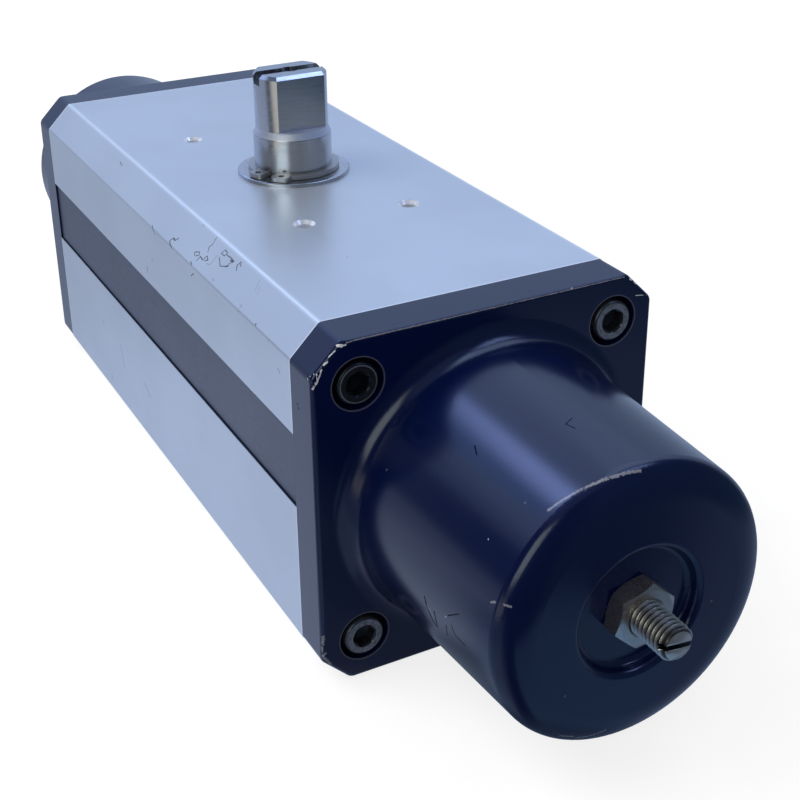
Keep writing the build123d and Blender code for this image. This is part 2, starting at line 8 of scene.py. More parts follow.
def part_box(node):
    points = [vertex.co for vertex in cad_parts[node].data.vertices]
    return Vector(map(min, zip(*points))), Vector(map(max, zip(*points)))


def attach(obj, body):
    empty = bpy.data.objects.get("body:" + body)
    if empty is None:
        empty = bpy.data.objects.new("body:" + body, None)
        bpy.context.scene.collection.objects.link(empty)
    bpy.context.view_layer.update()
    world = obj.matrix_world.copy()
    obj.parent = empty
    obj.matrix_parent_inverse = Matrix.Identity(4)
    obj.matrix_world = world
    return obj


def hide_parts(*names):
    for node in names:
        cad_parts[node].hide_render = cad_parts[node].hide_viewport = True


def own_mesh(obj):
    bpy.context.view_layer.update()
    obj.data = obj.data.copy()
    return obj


bl_info = {
    "name": "Pneumatic Valve Actuator",
    "version": (1, 0, 0),
    "blender": (4, 5, 0),
    "location": "3D View > Sidebar > Actuator",
    "description": "Finishes, screw threads, springs and studio of a quarter-turn pneumatic actuator",
    "category": "Object",
}

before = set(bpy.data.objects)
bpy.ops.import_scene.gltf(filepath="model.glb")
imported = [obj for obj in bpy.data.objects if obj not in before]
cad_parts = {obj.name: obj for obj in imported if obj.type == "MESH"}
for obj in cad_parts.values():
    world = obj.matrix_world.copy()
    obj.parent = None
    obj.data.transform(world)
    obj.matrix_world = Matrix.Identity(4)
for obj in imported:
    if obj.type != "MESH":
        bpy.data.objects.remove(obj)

# Places read from the frame, in metres
MM = 0.001
BODY_LOW, BODY_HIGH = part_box("body")
BODY_END, BODY_SIDE, BODY_TOP = BODY_HIGH
AXIS_HEIGHT = (BODY_LOW.z + BODY_HIGH.z) / 2
STRIP_LOW, STRIP_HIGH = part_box("side_strip")
NUT_LOW, NUT_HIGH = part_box("lock_nut_right")
STOP_LOW, STOP_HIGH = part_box("stop_screw_right")
STOP_RADIUS = (STOP_HIGH.z - STOP_LOW.z) / 2
SPRING_LOW, SPRING_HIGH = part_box("spring_right")

# Which way each end lies along the body
ENDS = {"right": 1, "left": -1}

# Shapes of the solids that the frame doesn't give, in metres
CORNER_CUT = 7.3 * MM
TOP_HOLES = (40 * MM, 15 * MM)
TOP_SINK_RADIUS = 3.2 * MM
SHAFT_BAND = (BODY_TOP + 11.5 * MM, BODY_TOP + 13.4 * MM)
PLATE_FRONT = 106.5 * MM
PLATE_EDGE_ROUND = 1 * MM
RECESS_RADIUS = 6.35 * MM

# Cap screws
SCREW_PLACE = 33 * MM
SCREW_HEAD_FRONT = PLATE_FRONT + 0.2 * MM
SCREW_HEAD_RADIUS = 5 * MM
SCREW_HEAD_HEIGHT = 6 * MM
SCREW_RIM_ROUND = 0.7 * MM
SCREW_RIM_STEPS = 5
HEAD_FLAT_RADIUS = 4.35 * MM
SCREW_SHANK_RADIUS = 3 * MM
SCREW_SHANK = 24 * MM
SCREW_TIP_CHAMFER = 0.6 * MM
SOCKET_LIP = 0.35 * MM
SOCKET_POINT = 0.8 * MM
SCREW_STEPS = 72
# The angle of each socket in degrees, by side and height
SCREW_TURNS = {(-1, 1): 50, (1, 1): 59, (-1, -1): 40, (1, -1): 23}

# Stop screws and their lock nuts, with the thread's outline as places along one turn and shares of its depth
THREAD_PROFILE = [(0.0, 1.0), (0.14, 1.0), (0.5, 0.05), (0.54, 0.0), (0.61, 0.0), (0.65, 0.05)]
THREAD_STEPS = 40
STOP_TIP_CHAMFER = 0.9 * MM
STOP_SLOT_TURN = radians(-7)
NUT_STEPS = 120
NUT_FLATS = 13 * MM
NUT_TURN = radians(47.5)
NUT_FACE_INSET = 0.25 * MM
NUT_CHAMFER = tan(radians(30))
NUT_SINK = 0.55 * MM

# Return springs, with the rise of a closed turn in wire diameters
SPRING_STEPS = 48
SPRING_SIDES = 14
CLOSED_TURN_RISE = 1.02

# Colours of edges, dirt and wear, and of painted highlights and painted shade
DARK_ROOM = (0.02, 0.025, 0.035)
# Painted highlight along the body chamfer's top edge
CHAMFER_EDGE_HIGHLIGHT = (0.86, 0.93, 1.0)
EDGE_SHADE = (0.3, 0.35, 0.46)
# Painted highlight along the body's end edges
END_EDGE_HIGHLIGHT = (0.9, 0.92, 0.97)
GROOVE_SHADE = (0.02, 0.03, 0.06)
# Countersinks of the top holes: cut metal, with a painted highlight, laid near white
HOLE_SINK_CUT_AND_HIGHLIGHT = (0.97, 0.98, 1.0)
SCRATCH_DIRT = (0.07, 0.075, 0.07)
DUST = (0.25, 0.27, 0.3)
SCUFF = (0.006, 0.007, 0.01)
HEAD_RIM_SHADE = (0.02, 0.025, 0.04)
# Painted highlight: a thin light line round the flat of the upper strip-side heads
HEAD_FLAT_HIGHLIGHT = (0.3, 0.33, 0.4)
# Painted shade on the cap screw heads above the strip side
UPPER_HEAD_SHADE = (0.008, 0.01, 0.018)
SOCKET_SHADE = (0.006, 0.008, 0.014)
# Painted shade in the stop screws' slots
SLOT_SHADE = (0.008, 0.009, 0.012)
# Painted highlight on the shaft's collar chamfer
COLLAR_CHAMFER_HIGHLIGHT = (0.8, 0.79, 0.85)
STRIP_SPECKS = (0.3, 0.32, 0.38)
STRIP_SCRATCH = (0.012, 0.014, 0.03)

# How high the streaks of drawn metal and the unevenness of paint and castings rise
GRAIN_RISE = 0.02 * MM
SKIN_RISE = 0.05 * MM

# Where the floor's cards are seen from: just above the floor beside the near cup
SURROUND_MIDDLE = (150 * MM, -12 * MM, 50 * MM)
FLOOR_REACH = 6
FLOOR_GLOW = 0.78
# Each lamp's place, the point that it is aimed at and its width, in metres
KEY_LIGHT = ((-0.25, -0.75, 1.1), (0, 0, 0.05), 0.9)
FILL_LIGHT = ((0.9, -0.9, 0.7), (0.05, 0, 0.05), 0.7)
# Each card's middle and half width round the shaft, low and high edge, softness and light
STUDIO_CARDS = (
    ("backdrop", 158, 72, -15, 100, 8, (0.42, 0.55, 0.82)),
    ("backdrop foot", 158, 72, -15, 15, 8, (0.36, 0.47, 0.7)),
    ("backdrop top", 158, 72, 28, 100, 8, (0.67, 0.88, 1.32)),
    ("ceiling", 118, 35, 45, 100, 8, (1.14, 1.5, 2.25)),
    ("zenith", 118, 70, 76, 110, 12, (1.6, 2.3, 3.6)),
    ("left lamp glow", -158, 14, 32, 62, 10, (0.52, 0.84, 1.75)),
    ("left lamp", -161, 10, 43, 60, 9, (2.7, 3.6, 7.4)),
    ("dark ceiling", -62, 84, 52, 100, 10, (0.16, 0.2, 0.32)),
    ("left floor", -160, 38, -100, -4, 6, (0.52, 0.63, 0.87)),
    ("left floor far", -160, 38, -11, -1, 6, (0.38, 0.46, 0.64)),
    ("left floor under", -160, 38, -100, -44, 12, (0.14, 0.18, 0.25)),
    ("dark opening", -122, 16, -2, 20, 6, (0.05, 0.07, 0.1)),
    ("dark on floor", -114, 8, -16, -1, 4, (0.08, 0.1, 0.14)),
    ("side card", -56, 17, 6, 44, 7, (2.0, 2.25, 2.2)),
    ("side card on floor", -83, 23, -14, -2, 4, (0.8, 0.8, 0.74)),
    ("right room", 50, 45, -25, 45, 20, (0.05, 0.09, 0.14)),
    ("right lamp", 58, 14, 46, 70, 6, (1.65, 2.2, 4.3)),
    ("near floor rim", -85, 42, -30, -15, 6, (0.2, 0.27, 0.4)),
    ("near floor", -85, 42, -100, -28, 6, (0.3, 0.41, 0.62)),
    ("front floor", 35, 60, -100, -30, 6, (0.15, 0.27, 0.46)),
    ("right floor", 78, 33, -100, -15, 10, (0.18, 0.25, 0.4)),
    ("floor beneath", 0, 180, -100, -64, 14, (0.08, 0.12, 0.2)),
)

# Scratches, each a half width and a line of points, in mm. On the body's strip side and on the chamfer above it a
# point is a place along the body and a height
BODY_SCRATCHES = (
    (0.16, (4.8, 81.1), (6.5, 80.4), (7.9, 79.6)),
    (0.22, (21.2, 80.4), (20.0, 80.7), (18.0, 81.3), (18.7, 82.1), (20.3, 82.0),
     (21.0, 82.7)),
    (0.16, (33.7, 81.2), (35.2, 80.9)),
    (0.18, (34.6, 77.7), (36.5, 79.0)),
    (0.16, (-2, 67), (-2, 65.2)),
    (0.16, (36.6, 87.4), (37.2, 85.9), (36.6, 85.3), (37.8, 84.4)),
    (0.15, (33.6, 82.4), (32.4, 82.9), (34.3, 83.5), (35.2, 83.0), (34.0, 82.5)),
    (0.17, (35.8, 82.0), (36.1, 83.0), (38.0, 82.8), (38.6, 83.9), (40.2, 83.4),
     (39.0, 82.9)),
    (0.14, (43.4, 85.9), (44.0, 86.8), (45.8, 86.6), (45.4, 85.9), (43.4, 85.9)),
    (0.16, (43.9, 85.1), (46.8, 84.1), (49.9, 84.9), (49.5, 85.4), (50.7, 86.3),
     (48.4, 86.4), (45.9, 86.3)),
    (0.34, (49.2, 86.1), (50.6, 86.2)),
    (0.3, (49.0, 84.7), (49.7, 85.0)),
    (0.17, (54.2, 85.4), (53.0, 86.2), (53.6, 87.0), (54.6, 86.4)),
    (0.14, (66.0, 81.7), (66.1, 80.4)),
    (0.2, (75.9, 81.1), (76.2, 81.0)),
    (0.14, (88.7, 75.7), (89.7, 74.8)),
    (0.12, (-15.6, 25.1), (-12.7, 24.1), (-10.7, 22.4)),
    (0.25, (-53.4, 29.5), (-53.2, 29.3)),
    (0.14, (-36.5, 86.0), (-33.8, 85.7)),
)
BODY_FAINT_SCRATCHES = (
    (0.2, (2.8, 71.0), (3.7, 70.6)),
    (0.18, (40.8, 82.8), (42.4, 83.1), (42.5, 85.1)),
    (0.2, (26.9, 87.5), (27.6, 87.4)),
    (0.22, (47.7, 81.6), (48.6, 81.5)),
    (0.14, (65.5, 86.7), (66.6, 85.1)),
    (0.12, (67.4, 86.1), (68.4, 84.7)),
    (0.25, (83.8, 80.4), (84.0, 80.3)),
    (0.2, (64.1, -28.4, 88), (64.4, -28.4, 88)),
    (0.2, (65.1, -15.2, 88), (65.4, -15.2, 88)),
    (0.3, (-36.8, 28.3), (-34.9, 21.7)),
    (0.3, (-50.4, 12.2), (-50.2, 10.8)),
)
# Chips to the metal, edges worn thin, painted highlights along the plate's top edge and the cup's front rim, and dark
# scuffs
PAINT_CHIPS = (
    (0.36, (106.1, -37.4, 87.0), (106.5, -36.6, 86.9)),
    (0.2, (106.5, -36.6, 86.9), (106.5, -35.7, 86.9)),
    (0.12, (106.1, -39.6, 84.8), (106.3, -38.1, 86.0)),
    (0.24, (106.3, -40.8, 83.4), (106.4, -40.0, 83.9)),
    (0.2, (106.4, -41.4, 82.4), (106.5, -42.5, 79.9), (106.3, -43.6, 78.3)),
    (0.13, (104.7, -43.9, 80.2), (106.3, -43.6, 78.3)),
    (0.13, (105.4, -43.6, 81.0), (106.4, -43.4, 79.0)),
    (0.13, (105.9, -43.0, 81.6), (106.5, -43.0, 79.5)),
    (0.13, (106.3, -42.5, 81.6), (106.5, -42.6, 80.0)),
    (0.1, (106.5, 39.3, 82.1), (106.5, 40.7, 81.9), (106.3, 42.5, 81.5)),
    (0.3, (106.2, 37.5, 86.6), (106.2, 37.9, 86.3)),
    (0.24, (106.1, 39.0, 85.4), (106.1, 39.5, 84.9)),
    # The last two are small pale specks on the cup, laid in the metal's colour
    (0.14, (145.2, -33.4, 41.7), (145.4, -33.4, 41.8)),
    (0.13, (151.8, -27.7, 62.4), (151.9, -27.8, 62.3)),
)
PAINT_RUBS_AND_HIGHLIGHTS = (
    # The first two lines are a painted highlight along the plate's top edge
    (0.16, (106.4, -35.5, 87.3), (106.4, -33.2, 87.5), (106.4, -14.2, 87.5)),
    (0.13, (106.4, -14.2, 87.5), (106.4, 35.8, 87.5)),
    (0.42, (106.4, -43.5, 14.3), (106.3, -43.6, 12.3)),
    (0.26, (106.1, -43.8, 11.4), (106.2, -43.7, 10.2)),
    (0.36, (106.5, -43.1, 9.6), (106.2, -43.7, 8.9), (106.4, -43.0, 7.8), (106.4, -42.3, 6.9)),
    (0.28, (106.5, -42.4, 7.0), (106.4, -41.8, 6.1)),
    (0.2, (137.9, -33.6, 40.0), (139.6, -33.3, 38.5)),
    (0.3, (159.4, -31.4, 53.6), (160.5, -31.2, 54.2)),
    (0.3, (162.5, -30.4, 54.6), (163.3, -29.5, 54.3)),
    (0.22, (163.6, -16.8, 18.1), (163.9, -13.8, 16.9)),
    (0.22, (163.6, -12.8, 16.0), (164.0, -10.1, 15.5), (164.8, -6.3, 16.3)),
    # Along the cup's front rim, a line that is partly wear and partly painted highlight
    (0.34, (159.6, -19.2, 70.7), (160.5, -14.9, 73.2), (161.6, -10.3, 75.0), (162.4, -4.6, 75.9), (162.9, -0.6, 75.7)),
)
PAINT_SCUFFS = (
    (0.25, (130.6, -33.6, 37.4), (132.8, -33.1, 36.1), (135.7, -32.7, 34.9)),
    (0.3, (137.2, -33.8, 41.6), (137.7, -33.6, 39.6), (139.3, -33.0, 36.8), (140.3, -32.8, 36.1)),
    (0.25, (140.7, -33.5, 40.1), (141.0, -32.8, 36.2)),
    (0.16, (146.3, -33.5, 42.7), (150.3, -33.2, 45.6)),
    (0.2, (147.3, -33.3, 41.1), (148.6, -33.0, 39.0), (152.1, -32.8, 39.0)),
    (0.2, (145.2, -33.2, 39.5), (144.9, -32.7, 36.7)),
    (0.28, (98.8, -44.0, 71.5), (98.9, -44.0, 71.4)),
    (0.25, (99.2, -44.0, 70.8), (99.3, -44.0, 70.6)),
    (0.16, (133.1, -19.8, 71.7), (135.5, -20.7, 70.9)),
    (0.14, (142.0, -2.3, 77.6), (143.0, -4.5, 77.3), (145.3, -3.8, 77.3)),
)
# Scratches of the strip
STRIP_SCRATCHES = (
    (0.2, (-3.6, -43.4, 58.4), (-1.5, -43.4, 55.6), (0.6, -43.4, 60.3), (1.3, -43.4, 56.7)),
    (0.16, (31.1, -43.4, 55.4), (29.0, -43.4, 52.5), (32.3, -43.4, 54.2)),
    (0.16, (3.6, -43.4, 56.1), (4.7, -43.4, 55.3)),
)


def length_setting(name, description, default, low, high):
    """A length, with its default and limits given in mm."""
    return bpy.props.FloatProperty(
        name=name, description=description, default=default * MM, min=low * MM, max=high * MM,
        precision=5, subtype="DISTANCE", unit="LENGTH",
    )


def colour_setting(name, subject, *default):
    return bpy.props.FloatVectorProperty(
        name=name, description=f"Colour of the {subject}", default=default, min=0, max=1, subtype="COLOR",
    )


def angle_setting(name, description, degrees):
    return bpy.props.FloatProperty(
        name=name, description=description, default=radians(degrees), subtype="ANGLE", unit="ROTATION",
    )


def power_setting(name, description, watts):
    return bpy.props.FloatProperty(name=name, description=description, default=watts, min=0, unit="POWER")


class ActuatorSizes(bpy.types.PropertyGroup):
    stop_thread_pitch: length_setting(
        "Stop Thread Pitch", "Distance between two crests of the stop screws' thread", 1.25, 0.5, 2
    )
    stop_thread_depth: length_setting(
        "Stop Thread Depth", "Height of the stop screws' thread from root to crest", 0.77, 0.2, 1
    )
    slot_width: length_setting("Slot Width", "Width of the screwdriver slot in the stop screws", 1.2, 0.5, 2)
    slot_depth: length_setting("Slot Depth", "Depth of the screwdriver slot in the stop screws", 2.2, 0.5, 4)
    socket_size: length_setting("Socket Size", "Width across the flats of the cap screws' hexagon sockets", 5, 3, 6)
    socket_depth: length_setting("Socket Depth", "Depth of the cap screws' hexagon sockets", 3, 1, 4)
    spring_wire: length_setting("Spring Wire", "Diameter of the spring wire", 4.4, 2, 6)
    spring_open_turns: bpy.props.FloatProperty(
        name="Open Turns",
        description="Turns of each spring between its two closed end turns",
        default=5.0, min=2.0, max=12.0,
    )


class ActuatorFinishes(bpy.types.PropertyGroup):
    anodised: colour_setting("Anodised Body", "satin anodised extrusion", 0.56, 0.62, 0.71)
    paint: colour_setting("Cap Paint", "dark navy paint on the end caps", 0.0012, 0.0051, 0.039)
    # Also the colour of the painted highlights on the caps
    bare_metal_and_highlight: colour_setting("Bare Metal", "cast aluminium that chips and worn edges lay bare", 0.62, 0.63, 0.68)
    strip: colour_setting("Side Strip", "strip in the body's groove", 0.044, 0.054, 0.095)
    steel: colour_setting("Stainless Steel", "shaft and its washer", 0.56, 0.56, 0.58)
    stop_steel: colour_setting("Stop Screw Steel", "lock nuts and the stop screws", 0.62, 0.58, 0.54)
    dark_steel: colour_setting("Dark Steel", "retaining ring and the spring seats", 0.42, 0.43, 0.45)
    screw_heads: colour_setting("Screw Heads", "dulled cap screws", 0.25, 0.27, 0.31)
    cast_metal: colour_setting("Cast Metal", "bare cast pistons", 0.50, 0.51, 0.53)
    slide_plastic: colour_setting("Slide Plastic", "bushes, guide bands and rack pads", 0.72, 0.70, 0.62)
    rubber: colour_setting("Seal Rubber", "seals", 0.012, 0.012, 0.013)
    spring_coat: colour_setting("Spring Coat", "springs' coating", 0.03, 0.07, 0.20)


class ActuatorStudio(bpy.types.PropertyGroup):
    camera_place: bpy.props.FloatVectorProperty(
        name="Camera Place", description="Where the camera stands",
        default=(0.35132, -0.15093, 0.21732), precision=5, subtype="TRANSLATION", unit="LENGTH",
    )
    camera_azimuth: angle_setting(
        "Camera Azimuth", "Direction of the camera round the shaft, from the strip side", 62.375
    )
    camera_elevation: angle_setting("Camera Elevation", "Angle at which the camera looks down", 25.309)
    camera_roll: angle_setting("Camera Roll", "Tilt of the camera about its line of sight", -0.62)
    lens: bpy.props.FloatProperty(
        name="Lens", description="Focal length for a sensor 36 mm wide",
        default=64.41, min=20, max=200, unit="CAMERA",
    )
    camera_shift: bpy.props.FloatProperty(
        name="Camera Shift", description="Upward shift of the frame, as a share of its width",
        default=-0.0834,
    )
    key_power: power_setting("Key Light", "Power of the large soft light over the strip side, in watts", 7.0)
    fill_power: power_setting("Fill Light", "Power of the soft light beside the camera, in watts", 2.0)
    surround: bpy.props.FloatProperty(
        name="Surround", description="Strength of the even light from all round",
        default=0.55, min=0, max=2,
    )


# Node building

VECTOR, NUMBER, TINT = "NodeSocketVector", "NodeSocketFloat", "NodeSocketColor"


def add_node(kind, inputs, tree=None, **options):
    """Adds a node, sets its options and fills its inputs with values or with links from other sockets. Where no
    tree is given, it is the one that those sockets are in."""
    if tree is None:
        tree = next(value.id_data for value in inputs.values() if isinstance(value, bpy.types.NodeSocket))
    node = tree.nodes.new("ShaderNode" + kind)
    for name, value in options.items():
        setattr(node, name, value)
    for name, value in inputs.items():
        if isinstance(value, bpy.types.NodeSocket):
            link(value, node.inputs[name])
        else:
            node.inputs[name].default_value = value
    return node


def link(value, socket):
    """Leads a socket's value to another socket."""
    socket.id_data.links.new(value, socket)


def calculate(operation, *values, clamp=False):
    return add_node("Math", dict(enumerate(values)), operation=operation, use_clamp=clamp).outputs[0]


def minus(first, second):
    return calculate("SUBTRACT", first, second)


def product(first, second):
    return calculate("MULTIPLY", first, second)


def over(value, limit):
    return calculate("GREATER_THAN", value, limit)


def under(value, limit):
    return calculate("LESS_THAN", value, limit)


def between(value, low, high):
    return product(over(value, low), under(value, high))


def largest(first, *others):
    for other in others:
        first = calculate("MAXIMUM", first, other)
    return first


def away(value, middle=None):
    """How far a value is from a middle, or from nought."""
    return calculate("ABSOLUTE", value if middle is None else minus(value, middle))


def hypotenuse(across, up):
    return calculate("SQRT", calculate("MULTIPLY_ADD", across, across, product(up, up)))


def combine(operation, *values):
    """A vector calculation, which puts out a vector or, for distances and products, a number."""
    node = add_node("VectorMath", dict(enumerate(values)), operation=operation)
    return node.outputs["Value" if operation in ("DOT_PRODUCT", "DISTANCE") else "Vector"]


def scaled(vector, factor):
    inputs = {0: vector, "Scale": factor}
    return add_node("VectorMath", inputs, operation="SCALE").outputs["Vector"]


def colour(values):
    return (*values, 1.0)


def blended(share, first, second):
    inputs = {0: share, 6: first, 7: second}
    return add_node("Mix", inputs, data_type="RGBA", clamp_factor=True).outputs[2]


def laid_on(tone, mask, shade, strength=None):
    """A tone with a shade laid over it where the mask is."""
    return blended(mask if strength is None else product(mask, strength), tone, colour(shade))


def ranged(value, low, high, low_result=0.0, high_result=1.0, smooth=True):
    """The value's place between low and high, turned into a place between the two results."""
    inputs = {"Value": value, "From Min": low, "From Max": high, "To Min": low_result, "To Max": high_result}
    kind = "SMOOTHSTEP" if smooth else "LINEAR"
    return add_node("MapRange", inputs, interpolation_type=kind).outputs["Result"]


def mottled(pattern, low, high, base, factor):
    """A colour that drifts towards a paler or darker one of its own kind as the pattern rises."""
    other = [min(1, channel * factor) for channel in base]
    return blended(ranged(pattern, low, high), colour(base), colour(other))


def noise(place, scale, detail=3.0, roughness=0.5):
    inputs = {"Vector": place, "Scale": scale, "Detail": detail, "Roughness": roughness}
    return add_node("TexNoise", inputs).outputs["Fac"]


def place_of(tree):
    """The piece's own coordinates, in metres."""
    return add_node("TexCoord", {}, tree).outputs["Object"]


def split(vector):
    node = add_node("SeparateXYZ", {0: vector})
    return node.outputs["X"], node.outputs["Y"], node.outputs["Z"]


def off_axis(y, z):
    """How far a place is from the piston axis, to the side and up or down."""
    return away(y), away(z, AXIS_HEIGHT)


def start_group(name, inputs, outputs):
    """An empty node group with named sockets, as the sockets it is given and those that it puts out."""
    group = bpy.data.node_groups.new(name, "ShaderNodeTree")
    for label, kind in inputs.items():
        group.interface.new_socket(name=label, in_out="INPUT", socket_type=kind)
    for label, kind in outputs.items():
        group.interface.new_socket(name=label, in_out="OUTPUT", socket_type=kind)
    return group.nodes.new("NodeGroupInput").outputs, group.nodes.new("NodeGroupOutput").inputs


def use_group(name, inputs, **options):
    return add_node("Group", inputs, node_tree=bpy.data.node_groups[name], **options).outputs


def make_scratch_group():
    """How far a place is from the line between Start and End, in half widths of the scratch."""
    inputs = {"Place": VECTOR, "Start": VECTOR, "End": VECTOR, "Half Width": NUMBER}
    given, result = start_group("Scratch", inputs, {"Reach": NUMBER})
    from_start = combine("SUBTRACT", given["Place"], given["Start"])
    along = combine("SUBTRACT", given["End"], given["Start"])
    # The small number keeps a scratch of one point from a division by nought
    length_squared = calculate("ADD", combine("DOT_PRODUCT", along, along), 1e-12)
    step = scaled(along, calculate("DIVIDE", 1, length_squared))
    share = calculate("ADD", combine("DOT_PRODUCT", from_start, step), 0, clamp=True)
    distance = combine("DISTANCE", from_start, scaled(along, share))
    link(calculate("DIVIDE", distance, given["Half Width"]), result["Reach"])


def make_wear_group():
    """Bare patches along an edge, where Distance is the way to that edge."""
    inputs = {"Place": VECTOR, "Distance": NUMBER, "Width": NUMBER, "Amount": NUMBER}
    given, result = start_group("Edge Wear", inputs, {"Mask": NUMBER})
    patches = noise(given["Place"], 160, 5, 0.65)
    mixed = calculate("MULTIPLY_ADD", noise(given["Place"], 1500, 2), 0.35, patches)
    bar = minus(1.13, product(given["Amount"], 0.75))
    held = calculate("DIVIDE", given["Distance"], given["Width"])
    level = minus(mixed, product(held, 0.35))
    worn = ranged(minus(level, bar), -0.02, 0.05)
    link(product(worn, ranged(held, 0.7, 1.0, 1, 0)), result["Mask"])


def make_grain_group():
    """Fine streaks that lie along one direction, as drawing, grinding or turning leaves them."""
    inputs = {"Place": VECTOR, "Stretch": VECTOR, "Scale": NUMBER}
    given, result = start_group("Grain", inputs, {"Streaks": NUMBER, "Clouds": NUMBER})
    drawn = combine("MULTIPLY", given["Place"], given["Stretch"])
    link(noise(drawn, given["Scale"], 4, 0.6), result["Streaks"])
    link(noise(given["Place"], 28), result["Clouds"])


def make_dust_group():
    """Small scattered specks."""
    inputs = {"Place": VECTOR, "Scale": NUMBER, "Size": NUMBER, "Share": NUMBER}
    given, result = start_group("Specks", inputs, {"Mask": NUMBER})
    cells = add_node("TexVoronoi", {"Vector": given["Place"], "Scale": given["Scale"]}).outputs
    dot = ranged(cells["Distance"], product(given["Size"], 0.6), given["Size"], 1, 0)
    chosen = under(split(cells["Color"])[0], given["Share"])
    link(product(dot, chosen), result["Mask"])


def make_outline_group():
    """The way in from the chamfered square that the body and the cap plates share."""
    given, result = start_group("Square Outline", {"Place": VECTOR}, {"Inset": NUMBER})
    _, y, z = split(given["Place"])
    out_y, out_z = off_axis(y, z)
    from_side = minus(BODY_SIDE, largest(out_y, out_z))
    corner_reach = (2 * BODY_SIDE - CORNER_CUT) / sqrt(2)
    from_corner = minus(corner_reach, product(calculate("ADD", out_y, out_z), 1 / sqrt(2)))
    link(calculate("MINIMUM", from_side, from_corner), result["Inset"])


def make_card_group():
    """A soft-edged card in the studio, between two angles round it and two heights, in degrees."""
    names = ("Turn", "Rise", "Middle", "Half Width", "Low", "High", "Soft")
    given, result = start_group("Studio Card", dict.fromkeys(names, NUMBER), {"Mask": NUMBER})
    off = calculate("WRAP", minus(given["Turn"], given["Middle"]), 180, -180)
    beyond = minus(away(off), given["Half Width"])
    below = minus(given["Low"], given["Rise"])
    above = minus(given["Rise"], given["High"])
    outer = product(given["Soft"], 0.5)
    inner = product(outer, -1)
    sides, foot, top = (ranged(outside, inner, outer, 1, 0) for outside in (beyond, below, above))
    link(product(product(sides, foot), top), result["Mask"])


def make_studio_group():
    """What stands round the studio in one direction, for glossy surfaces: cards, lamps and floor."""
    given, result = start_group("Studio Surround", {"Direction": VECTOR}, {"Color": TINT})
    x, y, z = split(combine("NORMALIZE", given["Direction"]))
    turn = calculate("DEGREES", calculate("ARCTAN2", y, x))
    rise = calculate("DEGREES", calculate("ARCSINE", z))
    shown = colour(DARK_ROOM)
    for name, middle, half_width, low, high, soft, light in STUDIO_CARDS:
        card = use_group("Studio Card", {
            "Turn": turn, "Rise": rise, "Middle": middle, "Half Width": half_width,
            "Low": low, "High": high, "Soft": soft,
        }, label=name)
        shown = blended(card["Mask"], shown, colour(light))
    link(shown, result["Color"])


# Materials


def start_material(name, **settings):
    """A material with one Principled shader, its plain values set on the shader's own sockets."""
    material = bpy.data.materials.new(name)
    material.use_nodes = True
    for label, value in settings.items():
        sockets_of(material)[label].default_value = value
    return material, place_of(material.node_tree)


def sockets_of(material):
    return material.node_tree.nodes["Principled BSDF"].inputs


def bump(height, strength, distance, **below):
    """The normal of a skin with this height, on top of another normal where there is one."""
    inputs = {"Height": height, "Strength": strength, "Distance": distance, **below}
    return add_node("Bump", inputs).outputs["Normal"]


def finished(material, tone, rough, normal):
    """The material, with its colour, roughness and skin led to its shader."""
    for label, value in (("Base Color", tone), ("Roughness", rough), ("Normal", normal)):
        link(value, sockets_of(material)[label])
    return material


def grain_of(place, scale, stretch=(1, 1, 1)):
    """The grain's streaks and its clouds."""
    grain = use_group("Grain", {"Place": place, "Stretch": stretch, "Scale": scale})
    return grain["Streaks"], grain["Clouds"]


def streaky(streaks, low, high, smooth=True):
    """A roughness between two values that follows the grain's streaks."""
    return ranged(streaks, 0.3, 0.7, low, high, smooth)


def specks(place, scale, size, share):
    return use_group("Specks", {"Place": place, "Scale": scale, "Size": size, "Share": share})["Mask"]


def scratch_point(numbers):
    """A point of a scratch in metres, found from its height where only that and its place along are given."""
    if len(numbers) == 3:
        return Vector(numbers) * MM
    along, height = (number * MM for number in numbers)
    return Vector((along, max(-BODY_SIDE, height - BODY_TOP - BODY_SIDE + CORNER_CUT), height))


def marks(place, lines, ragged=2.2):
    """A mask of marks along lines, such as scratches, chips and painted highlight lines, each a half width and a line
    of points in mm, uneven at its border.
    """
    reach = None
    for half_width, *line in lines:
        points = [scratch_point(numbers) for numbers in line]
        for start, end in zip(points, points[1:] or points):
            given = {"Place": place, "Start": start, "End": end, "Half Width": half_width * MM}
            one = use_group("Scratch", given)["Reach"]
            reach = one if reach is None else calculate("MINIMUM", reach, one)
    shred = minus(noise(place, 2100, 2, 0.6), 0.5)
    return ranged(calculate("MULTIPLY_ADD", shred, ragged, reach), 0.7, 1.05, 1, 0)


def near_line(first, second, line_first, line_second, half_width):
    """A soft band round a straight edge, given two coordinates and the edge's place in them."""
    from_line = hypotenuse(minus(first, line_first), minus(second, line_second))
    return ranged(from_line, half_width * 0.2, half_width, 1, 0)


